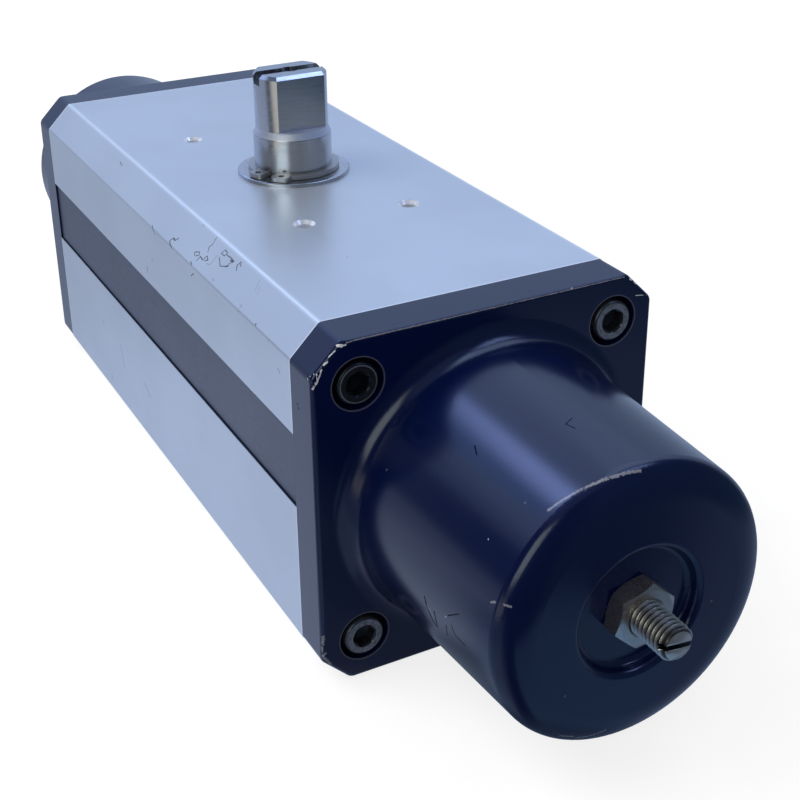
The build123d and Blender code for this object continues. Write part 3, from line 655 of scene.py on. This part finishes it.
def anodised_material(finishes):
    """Satin aluminium with a painted highlight along the chamfers' top edges and painted shade along their feet,
    painted highlights along the ends, painted shade in the strip's groove, countersinks of cut metal with a painted
    highlight, and scratches.
    """
    material, place = start_material("anodised_body", Metallic=0.62)
    x, y, z = split(place)
    out_x = away(x)
    out_y, out_z = off_axis(y, z)
    streaks, clouds = grain_of(place, 2600, (0.02, 1, 1))
    tone = mottled(clouds, 0.35, 0.7, finishes.anodised, 1.06)
    # Painted highlight: a pale band along the chamfer's top edge
    upper_edge_highlight = near_line(out_y, out_z, BODY_SIDE - CORNER_CUT, BODY_SIDE, 1.1 * MM)
    tone = laid_on(tone, upper_edge_highlight, CHAMFER_EDGE_HIGHLIGHT, 0.55)
    lower_edge = near_line(out_y, out_z, BODY_SIDE, BODY_SIDE - CORNER_CUT, 0.45 * MM)
    tone = laid_on(tone, lower_edge, EDGE_SHADE, 0.4)
    # Painted highlight: a pale line along the body's end edges
    tone = laid_on(tone, ranged(minus(BODY_END, out_x), 0.2 * MM, 0.45 * MM, 1, 0), END_EDGE_HIGHLIGHT)
    in_groove = product(
        between(z, STRIP_LOW.z - 0.5 * MM, STRIP_HIGH.z + 0.5 * MM),
        between(y, -BODY_SIDE + 0.12 * MM, -BODY_SIDE * 0.9),
    )
    tone = laid_on(tone, in_groove, GROOVE_SHADE)
    # The countersinks: cut metal, with a painted highlight laid near white all round
    from_hole = hypotenuse(minus(out_x, TOP_HOLES[0]), minus(out_y, TOP_HOLES[1]))
    sink = product(under(from_hole, TOP_SINK_RADIUS), between(z, BODY_TOP - 2.2 * MM, BODY_TOP - 0.02 * MM))
    tone = laid_on(tone, sink, HOLE_SINK_CUT_AND_HIGHLIGHT)
    scratches = largest(marks(place, BODY_SCRATCHES), product(marks(place, BODY_FAINT_SCRATCHES), 0.4))
    tone = laid_on(tone, scratches, SCRATCH_DIRT, 0.85)
    rough = calculate("MULTIPLY_ADD", scratches, 0.3, streaky(streaks, 0.29, 0.37, smooth=False))
    return finished(material, tone, rough, bump(streaks, 0.12, GRAIN_RISE))


def paint_material(finishes):
    """Navy paint, worn at the plate's edges, chipped, worn by rubs and scuffed to the metal, with painted highlights
    in the metal's colour along the plate's top edge, the cup's front rim and the screw recesses' mouths.
    """
    material, place = start_material("navy_paint", IOR=1.5)
    inset = use_group("Square Outline", {"Place": place})["Inset"]
    from_front = away(away(split(place)[0]), PLATE_FRONT)
    # Halfway round the rounded edge, the ways to its two faces add up to 0.59 of its radius
    from_rim = minus(calculate("ADD", from_front, away(inset)), 0.59 * PLATE_EDGE_ROUND)
    wear = use_group("Edge Wear", {"Place": place, "Distance": from_rim, "Width": 1.0 * MM, "Amount": 0.38})["Mask"]
    # These lines hold wear and painted highlights along the plate's top edge and the cup's front rim
    rubs_and_highlights = product(marks(place, PAINT_RUBS_AND_HIGHLIGHTS, 3.0), 0.3)
    # Worn metal, and painted highlights laid in the metal's colour
    metal_and_highlight = largest(wear, marks(place, PAINT_CHIPS), rubs_and_highlights, product(recess_rim_highlights(place), 0.1))
    scuffs = marks(place, PAINT_SCUFFS)
    tone = blended(metal_and_highlight, colour(finishes.paint), colour(finishes.bare_metal_and_highlight))
    tone = laid_on(tone, specks(place, 260, 0.09, 0.04), DUST, 0.25)
    tone = laid_on(tone, scuffs, SCUFF)
    link(scuffs, sockets_of(material)["Metallic"])
    rough = ranged(largest(metal_and_highlight, scuffs), 0, 1, 0.2, 0.55)
    waves = bump(noise(place, 60, 2, 0.4), 0.05, 0.5 * MM)
    return finished(material, tone, rough, bump(noise(place, 1500, 2), 0.16, SKIN_RISE, Normal=waves))


def from_screw_axis(y, z):
    """The way to the nearest cap screw's axis."""
    out_y, out_z = off_axis(y, z)
    return hypotenuse(minus(out_y, SCREW_PLACE), minus(out_z, SCREW_PLACE))


def recess_rim_highlights(place):
    """A painted highlight: a thin light line round the mouth of each cap screw's recess."""
    x, y, z = split(place)
    line = ranged(away(from_screw_axis(y, z), RECESS_RADIUS), 0.05 * MM, 0.28 * MM, 1, 0)
    return product(line, over(away(x), PLATE_FRONT - 0.3 * MM))


def screw_head_material(finishes):
    """Dulled screw steel, with painted shade inside the sockets and round the heads' rims, and on the heads above the
    strip side painted shade with a thin painted highlight round the flat.
    """
    material, place = start_material("screw_heads", Metallic=0.6)
    x, y, z = split(place)
    streaks, _ = grain_of(place, 900)
    tone = mottled(streaks, 0.36, 0.66, finishes.screw_heads, 0.55)
    from_axis = from_screw_axis(y, z)
    rim = ranged(from_axis, HEAD_FLAT_RADIUS, HEAD_FLAT_RADIUS + 0.25 * MM, 0, 0.85)
    tone = laid_on(tone, rim, HEAD_RIM_SHADE)
    # Painted shade: the heads above the strip side are laid almost black
    shaded_upper_heads = product(under(y, 0), over(z, AXIS_HEIGHT))
    tone = laid_on(tone, shaded_upper_heads, UPPER_HEAD_SHADE, 0.92)
    # Painted highlight: a thin light line round the flat of those heads
    outline = ranged(away(from_axis, HEAD_FLAT_RADIUS), 0.06 * MM, 0.2 * MM, 0.7, 0)
    tone = laid_on(tone, product(shaded_upper_heads, outline), HEAD_FLAT_HIGHLIGHT)
    socket = product(
        over(minus(SCREW_HEAD_FRONT, away(x)), 0.1 * SOCKET_LIP), under(from_axis, SCREW_SHANK_RADIUS + SOCKET_LIP)
    )
    tone = laid_on(tone, socket, SOCKET_SHADE, 0.9)
    return finished(material, tone, streaky(streaks, 0.26, 0.38), bump(streaks, 0.15, GRAIN_RISE))


def steel_material(name, base, roughness, scale, metallic=1.0):
    material, place = start_material(name, Metallic=metallic)
    streaks, clouds = grain_of(place, scale)
    rough = streaky(streaks, roughness * 0.8, roughness * 1.3, smooth=False)
    return finished(material, mottled(clouds, 0.3, 0.75, base, 0.82), rough, bump(streaks, 0.15, GRAIN_RISE))


def thread_material(base, sizes):
    """Stainless steel with painted shade in the roots of the thread and in the screwdriver slot."""
    material, place = start_material("threaded_steel", Metallic=0.92)
    x, y, z = split(place)
    up = minus(z, AXIS_HEIGHT)
    across = product(y, calculate("SIGN", x))
    streaks, _ = grain_of(place, 200, (12, 1, 1))
    root = STOP_RADIUS - sizes.stop_thread_depth
    crest = ranged(hypotenuse(across, up), root + 0.15 * MM, STOP_RADIUS - 0.12 * MM)
    on_end = over(away(x), STOP_HIGH.x - 0.1 * MM)
    # Painted shade: the thread's roots are laid at a sixth of the steel's colour, crests and end face at its full
    # colour
    tone = blended(largest(crest, on_end), colour([channel * 0.16 for channel in base]), colour(base))
    from_slot = away(product(up, cos(STOP_SLOT_TURN)), product(across, sin(STOP_SLOT_TURN)))
    in_slot = product(
        under(from_slot, sizes.slot_width / 2 + 0.03 * MM),
        between(away(x), STOP_HIGH.x - sizes.slot_depth - 0.05 * MM, STOP_HIGH.x - 0.08 * MM),
    )
    # Painted shade inside the screwdriver slot
    tone = laid_on(tone, in_slot, SLOT_SHADE)
    rough = calculate("MULTIPLY_ADD", in_slot, 0.3, streaky(streaks, 0.24, 0.38))
    return finished(material, tone, rough, bump(streaks, 0.12, GRAIN_RISE))


def shaft_material(base):
    """Turned steel, with a paler band of painted highlight, also rougher, where the collar is chamfered and the flats
    end.
    """
    material, place = start_material("turned_shaft", Metallic=1.0)
    streaks, clouds = grain_of(place, 160, (1, 1, 12))
    # Painted highlight: a pale band on the collar's chamfer, also rougher
    band = between(split(place)[2], *SHAFT_BAND)
    tone = laid_on(mottled(clouds, 0.3, 0.75, base, 0.82), band, COLLAR_CHAMFER_HIGHLIGHT)
    rough = calculate("MULTIPLY_ADD", band, 0.4, streaky(streaks, 0.16, 0.26))
    return finished(material, tone, rough, bump(streaks, 0.15, GRAIN_RISE))


def strip_material(finishes):
    material, place = start_material("strip_foil", Metallic=0.0, IOR=1.5)
    streaks, clouds = grain_of(place, 900, (0.3, 1, 1))
    tone = mottled(clouds, 0.3, 0.75, finishes.strip, 1.2)
    tone = laid_on(tone, specks(place, 300, 0.12, 0.05), STRIP_SPECKS, 0.25)
    tone = laid_on(tone, marks(place, STRIP_SCRATCHES), STRIP_SCRATCH, 0.75)
    rough = streaky(streaks, 0.36, 0.42, smooth=False)
    return finished(material, tone, rough, bump(streaks, 0.08, GRAIN_RISE))


def plain_material(name, base, roughness, scale, unevenness, metallic=0.0):
    """A moulded or cast finish: mottled colour and a fine uneven skin."""
    material, place = start_material(name, Metallic=metallic)
    tone = mottled(noise(place, scale / 8, 4, 0.55), 0.35, 0.7, base, 0.8)
    skin = noise(place, scale, 3, 0.55)
    rough = streaky(skin, roughness * 0.85, roughness * 1.15)
    return finished(material, tone, rough, bump(skin, unevenness, SKIN_RISE))


def dress(names, material):
    """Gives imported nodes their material."""
    for name in names:
        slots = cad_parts[name].data.materials
        slots.clear()
        slots.append(material)


# Meshes


def add_object(name, data):
    piece = bpy.data.objects.new(name, data)
    bpy.context.scene.collection.objects.link(piece)
    return piece


def mesh_piece(name, points, faces, material, smooth_angle=35, close_ends=False):
    """A smooth piece with sharp edges where its faces meet at more than the angle, in degrees."""
    mesh = bpy.data.meshes.new(name)
    mesh.from_pydata(points, [], faces)
    piece = add_object(name, mesh)
    work = bmesh.new()
    work.from_mesh(mesh)
    bmesh.ops.remove_doubles(work, verts=work.verts, dist=0.002 * MM)
    bmesh.ops.dissolve_degenerate(work, edges=work.edges, dist=0.001 * MM)
    bmesh.ops.recalc_face_normals(work, faces=work.faces)
    for face in work.faces:
        face.smooth = True
    for edge in work.edges:
        if len(edge.link_faces) == 2 and edge.calc_face_angle() > radians(smooth_angle):
            edge.smooth = False
    if close_ends:
        bmesh.ops.holes_fill(work, edges=[edge for edge in work.edges if edge.is_boundary], sides=0)
        bmesh.ops.recalc_face_normals(work, faces=work.faces)
    work.to_mesh(mesh)
    work.free()
    mesh.materials.append(material)
    return piece


def at_end(x, radius, angle, side):
    """A point round the piston axis, on the right-hand end, or turned half round the shaft for the left."""
    return (side * x, side * radius * cos(angle), AXIS_HEIGHT + radius * sin(angle))


def angles_round(steps):
    return [2 * pi * step / steps for step in range(steps)]


def stop_screw(name, side, sizes, material):
    """A rod along the piston axis, its thread one strip wound from end to end."""
    low, high, pitch = STOP_LOW.x, STOP_HIGH.x, sizes.stop_thread_pitch
    rows = len(THREAD_PROFILE)
    turns = ceil((high - low) / pitch) + 3
    points, faces = [], []
    for row in range(turns * rows):
        phase, share = THREAD_PROFILE[row % rows]
        for step, angle in enumerate(angles_round(THREAD_STEPS)):
            x = low + (row // rows + phase + step / THREAD_STEPS - 2) * pitch
            held = min(max(x, low), high)
            from_end = min(held - low, high - held)
            inset = max(share * sizes.stop_thread_depth, STOP_TIP_CHAMFER - from_end)
            points.append(at_end(held, STOP_RADIUS - inset, angle, side))
    for row in range((turns - 1) * rows - 1):
        for step in range(THREAD_STEPS):
            near = row * THREAD_STEPS + step
            far = near + 1 if step < THREAD_STEPS - 1 else (row + rows) * THREAD_STEPS
            faces.append((near, far, far + THREAD_STEPS, near + THREAD_STEPS))
    return mesh_piece(name, points, faces, material, close_ends=True)


def cut_away(piece, low, high, turn):
    """Cuts a box out of a piece. The box is given from the piston axis and turned about it."""
    spin = Matrix.Translation((0, 0, AXIS_HEIGHT)) @ Matrix.Rotation(turn, 4, "X")
    corners = [
        spin @ Vector((x, y, z)) for x in (low[0], high[0]) for y in (low[1], high[1]) for z in (low[2], high[2])
    ]
    sides = [(0, 1, 3, 2), (4, 6, 7, 5), (0, 4, 5, 1), (2, 3, 7, 6), (0, 2, 6, 4), (1, 5, 7, 3)]
    cutter = mesh_piece(piece.name + "_cutter", corners, sides, piece.data.materials[0])
    change = piece.modifiers.new("Slot", "BOOLEAN")
    change.object = cutter
    change.operation = "DIFFERENCE"
    change.solver = "EXACT"
    evaluated = piece.evaluated_get(bpy.context.evaluated_depsgraph_get())
    piece.data = bpy.data.meshes.new_from_object(evaluated)
    piece.modifiers.clear()
    bpy.data.objects.remove(cutter)


def ring_faces(rings, steps):
    """Faces between closed rings of points, one after another."""
    faces = []
    for ring in range(rings - 1):
        for step in range(steps):
            near, following = ring * steps + step, ring * steps + (step + 1) % steps
            faces.append((near, following, following + steps, near + steps))
    return faces


def hexagon_reach(angle, turn, half_size):
    """The way from a hexagon's middle to its outline."""
    sixth = pi / 3
    from_flat = (angle - turn + sixth / 2) % sixth - sixth / 2
    return half_size / cos(from_flat)


def lock_nut(name, side, material):
    """A hexagon nut with chamfered corners on both faces and a countersunk bore."""
    half_size = NUT_FLATS / 2
    face_radius = half_size - NUT_FACE_INSET
    bore = STOP_RADIUS * 0.86
    low, high = NUT_LOW.x, NUT_HIGH.x
    angles = angles_round(NUT_STEPS)
    outline = [hexagon_reach(angle, NUT_TURN, half_size) for angle in angles]
    rises = [(reach - face_radius) * NUT_CHAMFER for reach in outline]

    def face_rings(x, inward, countersink):
        """The rings of one face, from its bore to its chamfer."""
        corners = (
            (x + inward * NUT_SINK, bore), (x, STOP_RADIUS * countersink), (x, face_radius * 0.97), (x, face_radius),
        )
        chamfer = [(x + inward * rise, reach) for rise, reach in zip(rises, outline)]
        return [[corner] * NUT_STEPS for corner in corners] + [chamfer]

    rings = face_rings(low, 1, 1.06) + face_rings(high, -1, 1.12)[::-1]
    points = [at_end(x, reach, angle, side) for ring in rings for (x, reach), angle in zip(ring, angles)]
    last = (len(rings) - 1) * NUT_STEPS
    faces = ring_faces(len(rings), NUT_STEPS)
    for step in range(NUT_STEPS):
        following = (step + 1) % NUT_STEPS
        faces.append((last + step, last + following, following, step))
    return mesh_piece(name, points, faces, material, smooth_angle=20)


def socket_screw_rings(turn, sizes):
    """The screw's outline from its socket's floor to its tip, as rings of depths and places round its axis."""
    half_size = sizes.socket_size / 2
    corner = half_size / cos(pi / 6)
    # Each ring's depth and radius, with no radius where it is the socket's hexagon
    sections = [
        (-sizes.socket_depth - SOCKET_POINT, 0.05 * MM), (-sizes.socket_depth, None), (-SOCKET_LIP, None),
        (0, corner + 0.5 * SOCKET_LIP),
    ]
    middle = SCREW_HEAD_RADIUS - SCREW_RIM_ROUND
    for step in range(SCREW_RIM_STEPS + 1):
        around = pi / 2 * step / SCREW_RIM_STEPS
        sections.append((SCREW_RIM_ROUND * (cos(around) - 1), middle + SCREW_RIM_ROUND * sin(around)))
    tip = -SCREW_HEAD_HEIGHT - SCREW_SHANK
    sections += [
        (-SCREW_HEAD_HEIGHT, SCREW_HEAD_RADIUS), (-SCREW_HEAD_HEIGHT, SCREW_SHANK_RADIUS),
        (tip + SCREW_TIP_CHAMFER, SCREW_SHANK_RADIUS), (tip, SCREW_SHANK_RADIUS - SCREW_TIP_CHAMFER),
    ]
    rings = []
    for depth, radius in sections:
        reaches = [(radius or hexagon_reach(angle, turn, half_size), angle) for angle in angles_round(SCREW_STEPS)]
        rings.append([(depth, reach * cos(angle), reach * sin(angle)) for reach, angle in reaches])
    return rings


def cap_screw_set(name, sizes, material):
    """The eight socket head screws of the two caps, in one piece."""
    points, faces = [], []
    for side in (1, -1):
        for (across, up), turn in SCREW_TURNS.items():
            first = len(points)
            rings = socket_screw_rings(radians(turn), sizes)
            points += [
                (
                    side * (SCREW_HEAD_FRONT + depth), side * (across * SCREW_PLACE + out_y),
                    AXIS_HEIGHT + up * SCREW_PLACE + out_z,
                )
                for ring in rings for depth, out_y, out_z in ring
            ]
            faces += [tuple(first + corner for corner in face) for face in ring_faces(len(rings), SCREW_STEPS)]
    return mesh_piece(name, points, faces, material, close_ends=True)


def make_spring(name, side, sizes, material):
    """A spring whose last turns lie close and are flat at the ends."""
    low, high = SPRING_LOW.x, SPRING_HIGH.x
    wire = sizes.spring_wire / 2
    mean = (SPRING_HIGH.z - SPRING_LOW.z) / 2 - wire
    closed_rise = 2 * wire * CLOSED_TURN_RISE
    open_rise = (high - low - 2 * wire - 2 * closed_rise) / sizes.spring_open_turns
    total = int((sizes.spring_open_turns + 2) * SPRING_STEPS)
    # The wire's middle starts less than its radius from the end, so that the end is ground flat
    points, x = [], low + wire * 0.6
    for step in range(total + 1):
        turn = step / SPRING_STEPS
        for around in angles_round(SPRING_SIDES):
            held = min(max(x + wire * sin(around), low), high)
            points.append(at_end(held, mean + wire * cos(around), 2 * pi * turn, side))
        from_end = min(turn, sizes.spring_open_turns + 2 - turn)
        eased = min(max((from_end - 0.75) / 0.5, 0), 1)
        x += (closed_rise + (open_rise - closed_rise) * eased * eased * (3 - 2 * eased)) / SPRING_STEPS
    faces = ring_faces(total + 1, SPRING_SIDES)
    faces += [tuple(range(SPRING_SIDES)), tuple(range(total * SPRING_SIDES, (total + 1) * SPRING_SIDES))]
    return mesh_piece(name, points, faces, material)


# Studio


def camera_sees(path):
    """One where the camera sees a surface, straight or through glass."""
    return calculate("ADD", path["Is Camera Ray"], path["Is Transmission Ray"], clamp=True)


def emptied_tree(holder):
    """The node tree of a material or a world, with only a light path in it, and that path's sockets."""
    holder.use_nodes = True
    holder.node_tree.nodes.clear()
    return holder.node_tree, add_node("LightPath", {}, holder.node_tree).outputs


def make_floor():
    """A floor that looks almost white to the camera and shows the studio's cards in reflections."""
    points = [(across * FLOOR_REACH, along * FLOOR_REACH, 0) for across, along in ((-1, -1), (1, -1), (1, 1), (-1, 1))]
    material = bpy.data.materials.new("pale_floor")
    tree, path = emptied_tree(material)
    place = place_of(tree)
    surround = use_group("Studio Surround", {"Direction": combine("SUBTRACT", place, SURROUND_MIDDLE)})["Color"]
    speckle = ranged(noise(place, 40), 0.3, 0.7, 0.985, 1.0)
    white = add_node("CombineColor", {0: speckle, 1: speckle, 2: speckle}).outputs[0]
    diffuse = add_node("BsdfDiffuse", {"Color": colour([0.35] * 3)}, tree).outputs[0]
    strength = product(camera_sees(path), FLOOR_GLOW)
    glow = add_node("Emission", {"Color": white, "Strength": strength}).outputs[0]
    sheen = add_node("Emission", {"Color": surround, "Strength": 1.0}).outputs[0]
    open_floor = add_node("AddShader", {0: diffuse, 1: glow}).outputs[0]
    mixed = add_node("MixShader", {0: path["Is Glossy Ray"], 1: open_floor, 2: sheen}).outputs[0]
    add_node("OutputMaterial", {"Surface": mixed}).is_active_output = True
    floor = mesh_piece("studio_floor", points, [(0, 1, 2, 3)], material)


def make_world(studio):
    """Even light for matt surfaces, the studio's cards for glossy ones and white for the camera."""
    world = bpy.data.worlds.new("studio_surround")
    bpy.context.scene.world = world
    tree, path = emptied_tree(world)
    direction = add_node("TexCoord", {}, tree).outputs["Generated"]
    surround = use_group("Studio Surround", {"Direction": direction})["Color"]
    lit = blended(path["Is Glossy Ray"], colour([studio.surround] * 3), surround)
    shown = blended(camera_sees(path), lit, colour((1, 1, 1)))
    glow = add_node("Background", {"Color": shown, "Strength": 1.0}).outputs[0]
    add_node("OutputWorld", {"Surface": glow})


def add_light(name, place, target, size, power):
    data = bpy.data.lights.new(name, "AREA")
    data.shape = "RECTANGLE"
    data.size = size
    data.size_y = size * 0.7
    data.energy = power
    lamp = add_object(name, data)
    lamp.location = place
    lamp.rotation_euler = (Vector(target) - Vector(place)).to_track_quat("-Z", "Y").to_euler()
    lamp.visible_glossy = False


def aim_camera(studio):
    data = bpy.data.cameras.new("camera")
    data.sensor_width = 36
    data.lens = studio.lens
    data.shift_y = studio.camera_shift
    camera = add_object("camera", data)
    turn = Matrix.Rotation(studio.camera_azimuth, 3, "Z")
    tilt = Matrix.Rotation(pi / 2 - studio.camera_elevation, 3, "X")
    roll = Matrix.Rotation(studio.camera_roll, 3, "Z")
    camera.matrix_world = Matrix.Translation(studio.camera_place) @ (turn @ tilt @ roll).to_4x4()
    bpy.context.scene.camera = camera


# Operators


class ACTUATOR_OT_make_effects(bpy.types.Operator):
    """Build the shader groups that the finishes share"""

    bl_idname = "actuator.make_effects"
    bl_label = "Make Effects"

    def execute(self, context):
        for make_group in (
            make_scratch_group, make_wear_group, make_grain_group, make_dust_group,
            make_outline_group, make_card_group, make_studio_group,
        ):
            make_group()
        return {"FINISHED"}


class ACTUATOR_OT_finish_body(bpy.types.Operator):
    """Give the extruded body its satin anodised finish"""

    bl_idname = "actuator.finish_body"
    bl_label = "Body"

    def execute(self, context):
        dress(["body"], anodised_material(context.scene.actuator_finishes))
        return {"FINISHED"}


class ACTUATOR_OT_finish_strip(bpy.types.Operator):
    """Give the strip in the body's groove its foil finish"""

    bl_idname = "actuator.finish_strip"
    bl_label = "Side Strip"

    def execute(self, context):
        dress(["side_strip"], strip_material(context.scene.actuator_finishes))
        return {"FINISHED"}


class ACTUATOR_OT_finish_caps(bpy.types.Operator):
    """Paint both end caps and wear their edges"""

    bl_idname = "actuator.finish_caps"
    bl_label = "End Caps"

    def execute(self, context):
        dress(["end_cap_right", "end_cap_left"], paint_material(context.scene.actuator_finishes))
        return {"FINISHED"}


class ACTUATOR_OT_finish_shaft(bpy.types.Operator):
    """Give the drive shaft, its washer and its retaining ring their steel"""

    bl_idname = "actuator.finish_shaft"
    bl_label = "Drive Shaft"

    def execute(self, context):
        finishes = context.scene.actuator_finishes
        dress(["pinion"], shaft_material(finishes.steel))
        dress(["thrust_washer"], steel_material("pressed_washer", finishes.steel, 0.3, 900))
        ring = steel_material("retaining_ring", finishes.dark_steel, 0.32, 900, metallic=0.75)
        dress(["circlip", "spring_seat_right", "spring_seat_left"], ring)
        return {"FINISHED"}


class ACTUATOR_OT_finish_screws(bpy.types.Operator):
    """Build the eight socket head cap screws and the two lock nuts"""

    bl_idname = "actuator.finish_screws"
    bl_label = "Cap Screws and Nuts"

    def execute(self, context):
        finishes = context.scene.actuator_finishes
        screws = cap_screw_set("socket_screws", context.scene.actuator_sizes, screw_head_material(finishes))
        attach(screws, "housing")
        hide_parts("cap_screws")
        nuts = steel_material("turned_nut", finishes.stop_steel, 0.28, 700, metallic=0.95)
        for end, side in ENDS.items():
            nut = lock_nut(f"jam_nut_{end}", side, nuts)
            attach(nut, "housing")
            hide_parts(f"lock_nut_{end}")
        return {"FINISHED"}


class ACTUATOR_OT_build_stop_screws(bpy.types.Operator):
    """Build the two long slotted stop screws with their thread"""

    bl_idname = "actuator.build_stop_screws"
    bl_label = "Stop Screws"

    def execute(self, context):
        sizes = context.scene.actuator_sizes
        material = thread_material(context.scene.actuator_finishes.stop_steel, sizes)
        for end, side in ENDS.items():
            screw = stop_screw(f"stop_screw_thread_{end}", side, sizes, material)
            inner, outer = sorted((side * (STOP_HIGH.x - sizes.slot_depth), side * (STOP_HIGH.x + STOP_RADIUS)))
            half, reach = sizes.slot_width / 2, 2 * STOP_RADIUS
            cut_away(screw, (inner, -reach, -half), (outer, reach, half), side * STOP_SLOT_TURN)
            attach(screw, "housing")
            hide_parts(f"stop_screw_{end}")
        return {"FINISHED"}


class ACTUATOR_OT_build_springs(bpy.types.Operator):
    """Build the two return springs with closed, ground ends"""

    bl_idname = "actuator.build_springs"
    bl_label = "Return Springs"

    def execute(self, context):
        sizes = context.scene.actuator_sizes
        coat = context.scene.actuator_finishes.spring_coat
        material = plain_material("spring_coating", coat, 0.4, 1200, 0.1, metallic=0.2)
        for end, side in ENDS.items():
            spring = make_spring(f"return_spring_{end}", side, sizes, material)
            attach(spring, "housing")
            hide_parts(f"spring_{end}")
            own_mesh(spring)
        return {"FINISHED"}


class ACTUATOR_OT_finish_inside(bpy.types.Operator):
    """Give the pistons, bearings and seals their finishes"""

    bl_idname = "actuator.finish_inside"
    bl_label = "Inner Pieces"

    def execute(self, context):
        finishes = context.scene.actuator_finishes
        names = list(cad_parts)
        castings = plain_material("cast_piston", finishes.cast_metal, 0.45, 900, 0.2, metallic=1.0)
        dress(["piston_right", "piston_left"], castings)
        seals = [name for name in names if "seal" in name]
        dress(seals, plain_material("seal_rubber", finishes.rubber, 0.55, 1500, 0.15))
        slides = [name for name in names if "bush" in name or "guide_band" in name or "rack_pad" in name]
        dress(slides, plain_material("slide_plastic", finishes.slide_plastic, 0.4, 1200, 0.08))
        return {"FINISHED"}


class ACTUATOR_OT_set_studio(bpy.types.Operator):
    """Set up the floor, the lights, the surround and the camera"""

    bl_idname = "actuator.set_studio"
    bl_label = "Studio"

    def execute(self, context):
        studio = context.scene.actuator_studio
        make_floor()
        make_world(studio)
        add_light("key_light", *KEY_LIGHT, studio.key_power)
        add_light("fill_light", *FILL_LIGHT, studio.fill_power)
        aim_camera(studio)
        context.scene.view_settings.view_transform = "Standard"
        return {"FINISHED"}


class ACTUATOR_PT_panel(bpy.types.Panel):
    bl_label = "Pneumatic Actuator"
    bl_idname = "ACTUATOR_PT_panel"
    bl_space_type = "VIEW_3D"
    bl_region_type = "UI"
    bl_category = "Actuator"

    def draw(self, context):
        layout = self.layout
        scene = context.scene
        for group in (scene.actuator_sizes, scene.actuator_finishes, scene.actuator_studio):
            column = layout.column(align=True)
            for name in group.__annotations__:
                column.prop(group, name)
        column = layout.column(align=True)
        for operator in OPERATORS:
            column.operator(operator.bl_idname)


OPERATORS = (
    ACTUATOR_OT_make_effects,
    ACTUATOR_OT_finish_body,
    ACTUATOR_OT_finish_strip,
    ACTUATOR_OT_finish_caps,
    ACTUATOR_OT_finish_shaft,
    ACTUATOR_OT_finish_screws,
    ACTUATOR_OT_build_stop_screws,
    ACTUATOR_OT_build_springs,
    ACTUATOR_OT_finish_inside,
    ACTUATOR_OT_set_studio,
)
CLASSES = (ActuatorSizes, ActuatorFinishes, ActuatorStudio, *OPERATORS, ACTUATOR_PT_panel)


def register():
    for each in CLASSES:
        bpy.utils.register_class(each)
    bpy.types.Scene.actuator_sizes = bpy.props.PointerProperty(type=ActuatorSizes)
    bpy.types.Scene.actuator_finishes = bpy.props.PointerProperty(type=ActuatorFinishes)
    bpy.types.Scene.actuator_studio = bpy.props.PointerProperty(type=ActuatorStudio)


def unregister():
    del bpy.types.Scene.actuator_studio
    del bpy.types.Scene.actuator_finishes
    del bpy.types.Scene.actuator_sizes
    for each in reversed(CLASSES):
        bpy.utils.unregister_class(each)


def main():
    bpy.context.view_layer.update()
    register()
    for operator in OPERATORS:
        group, name = operator.bl_idname.split(".")
        getattr(getattr(bpy.ops, group), name)()


if __name__ == "__main__":
    main()
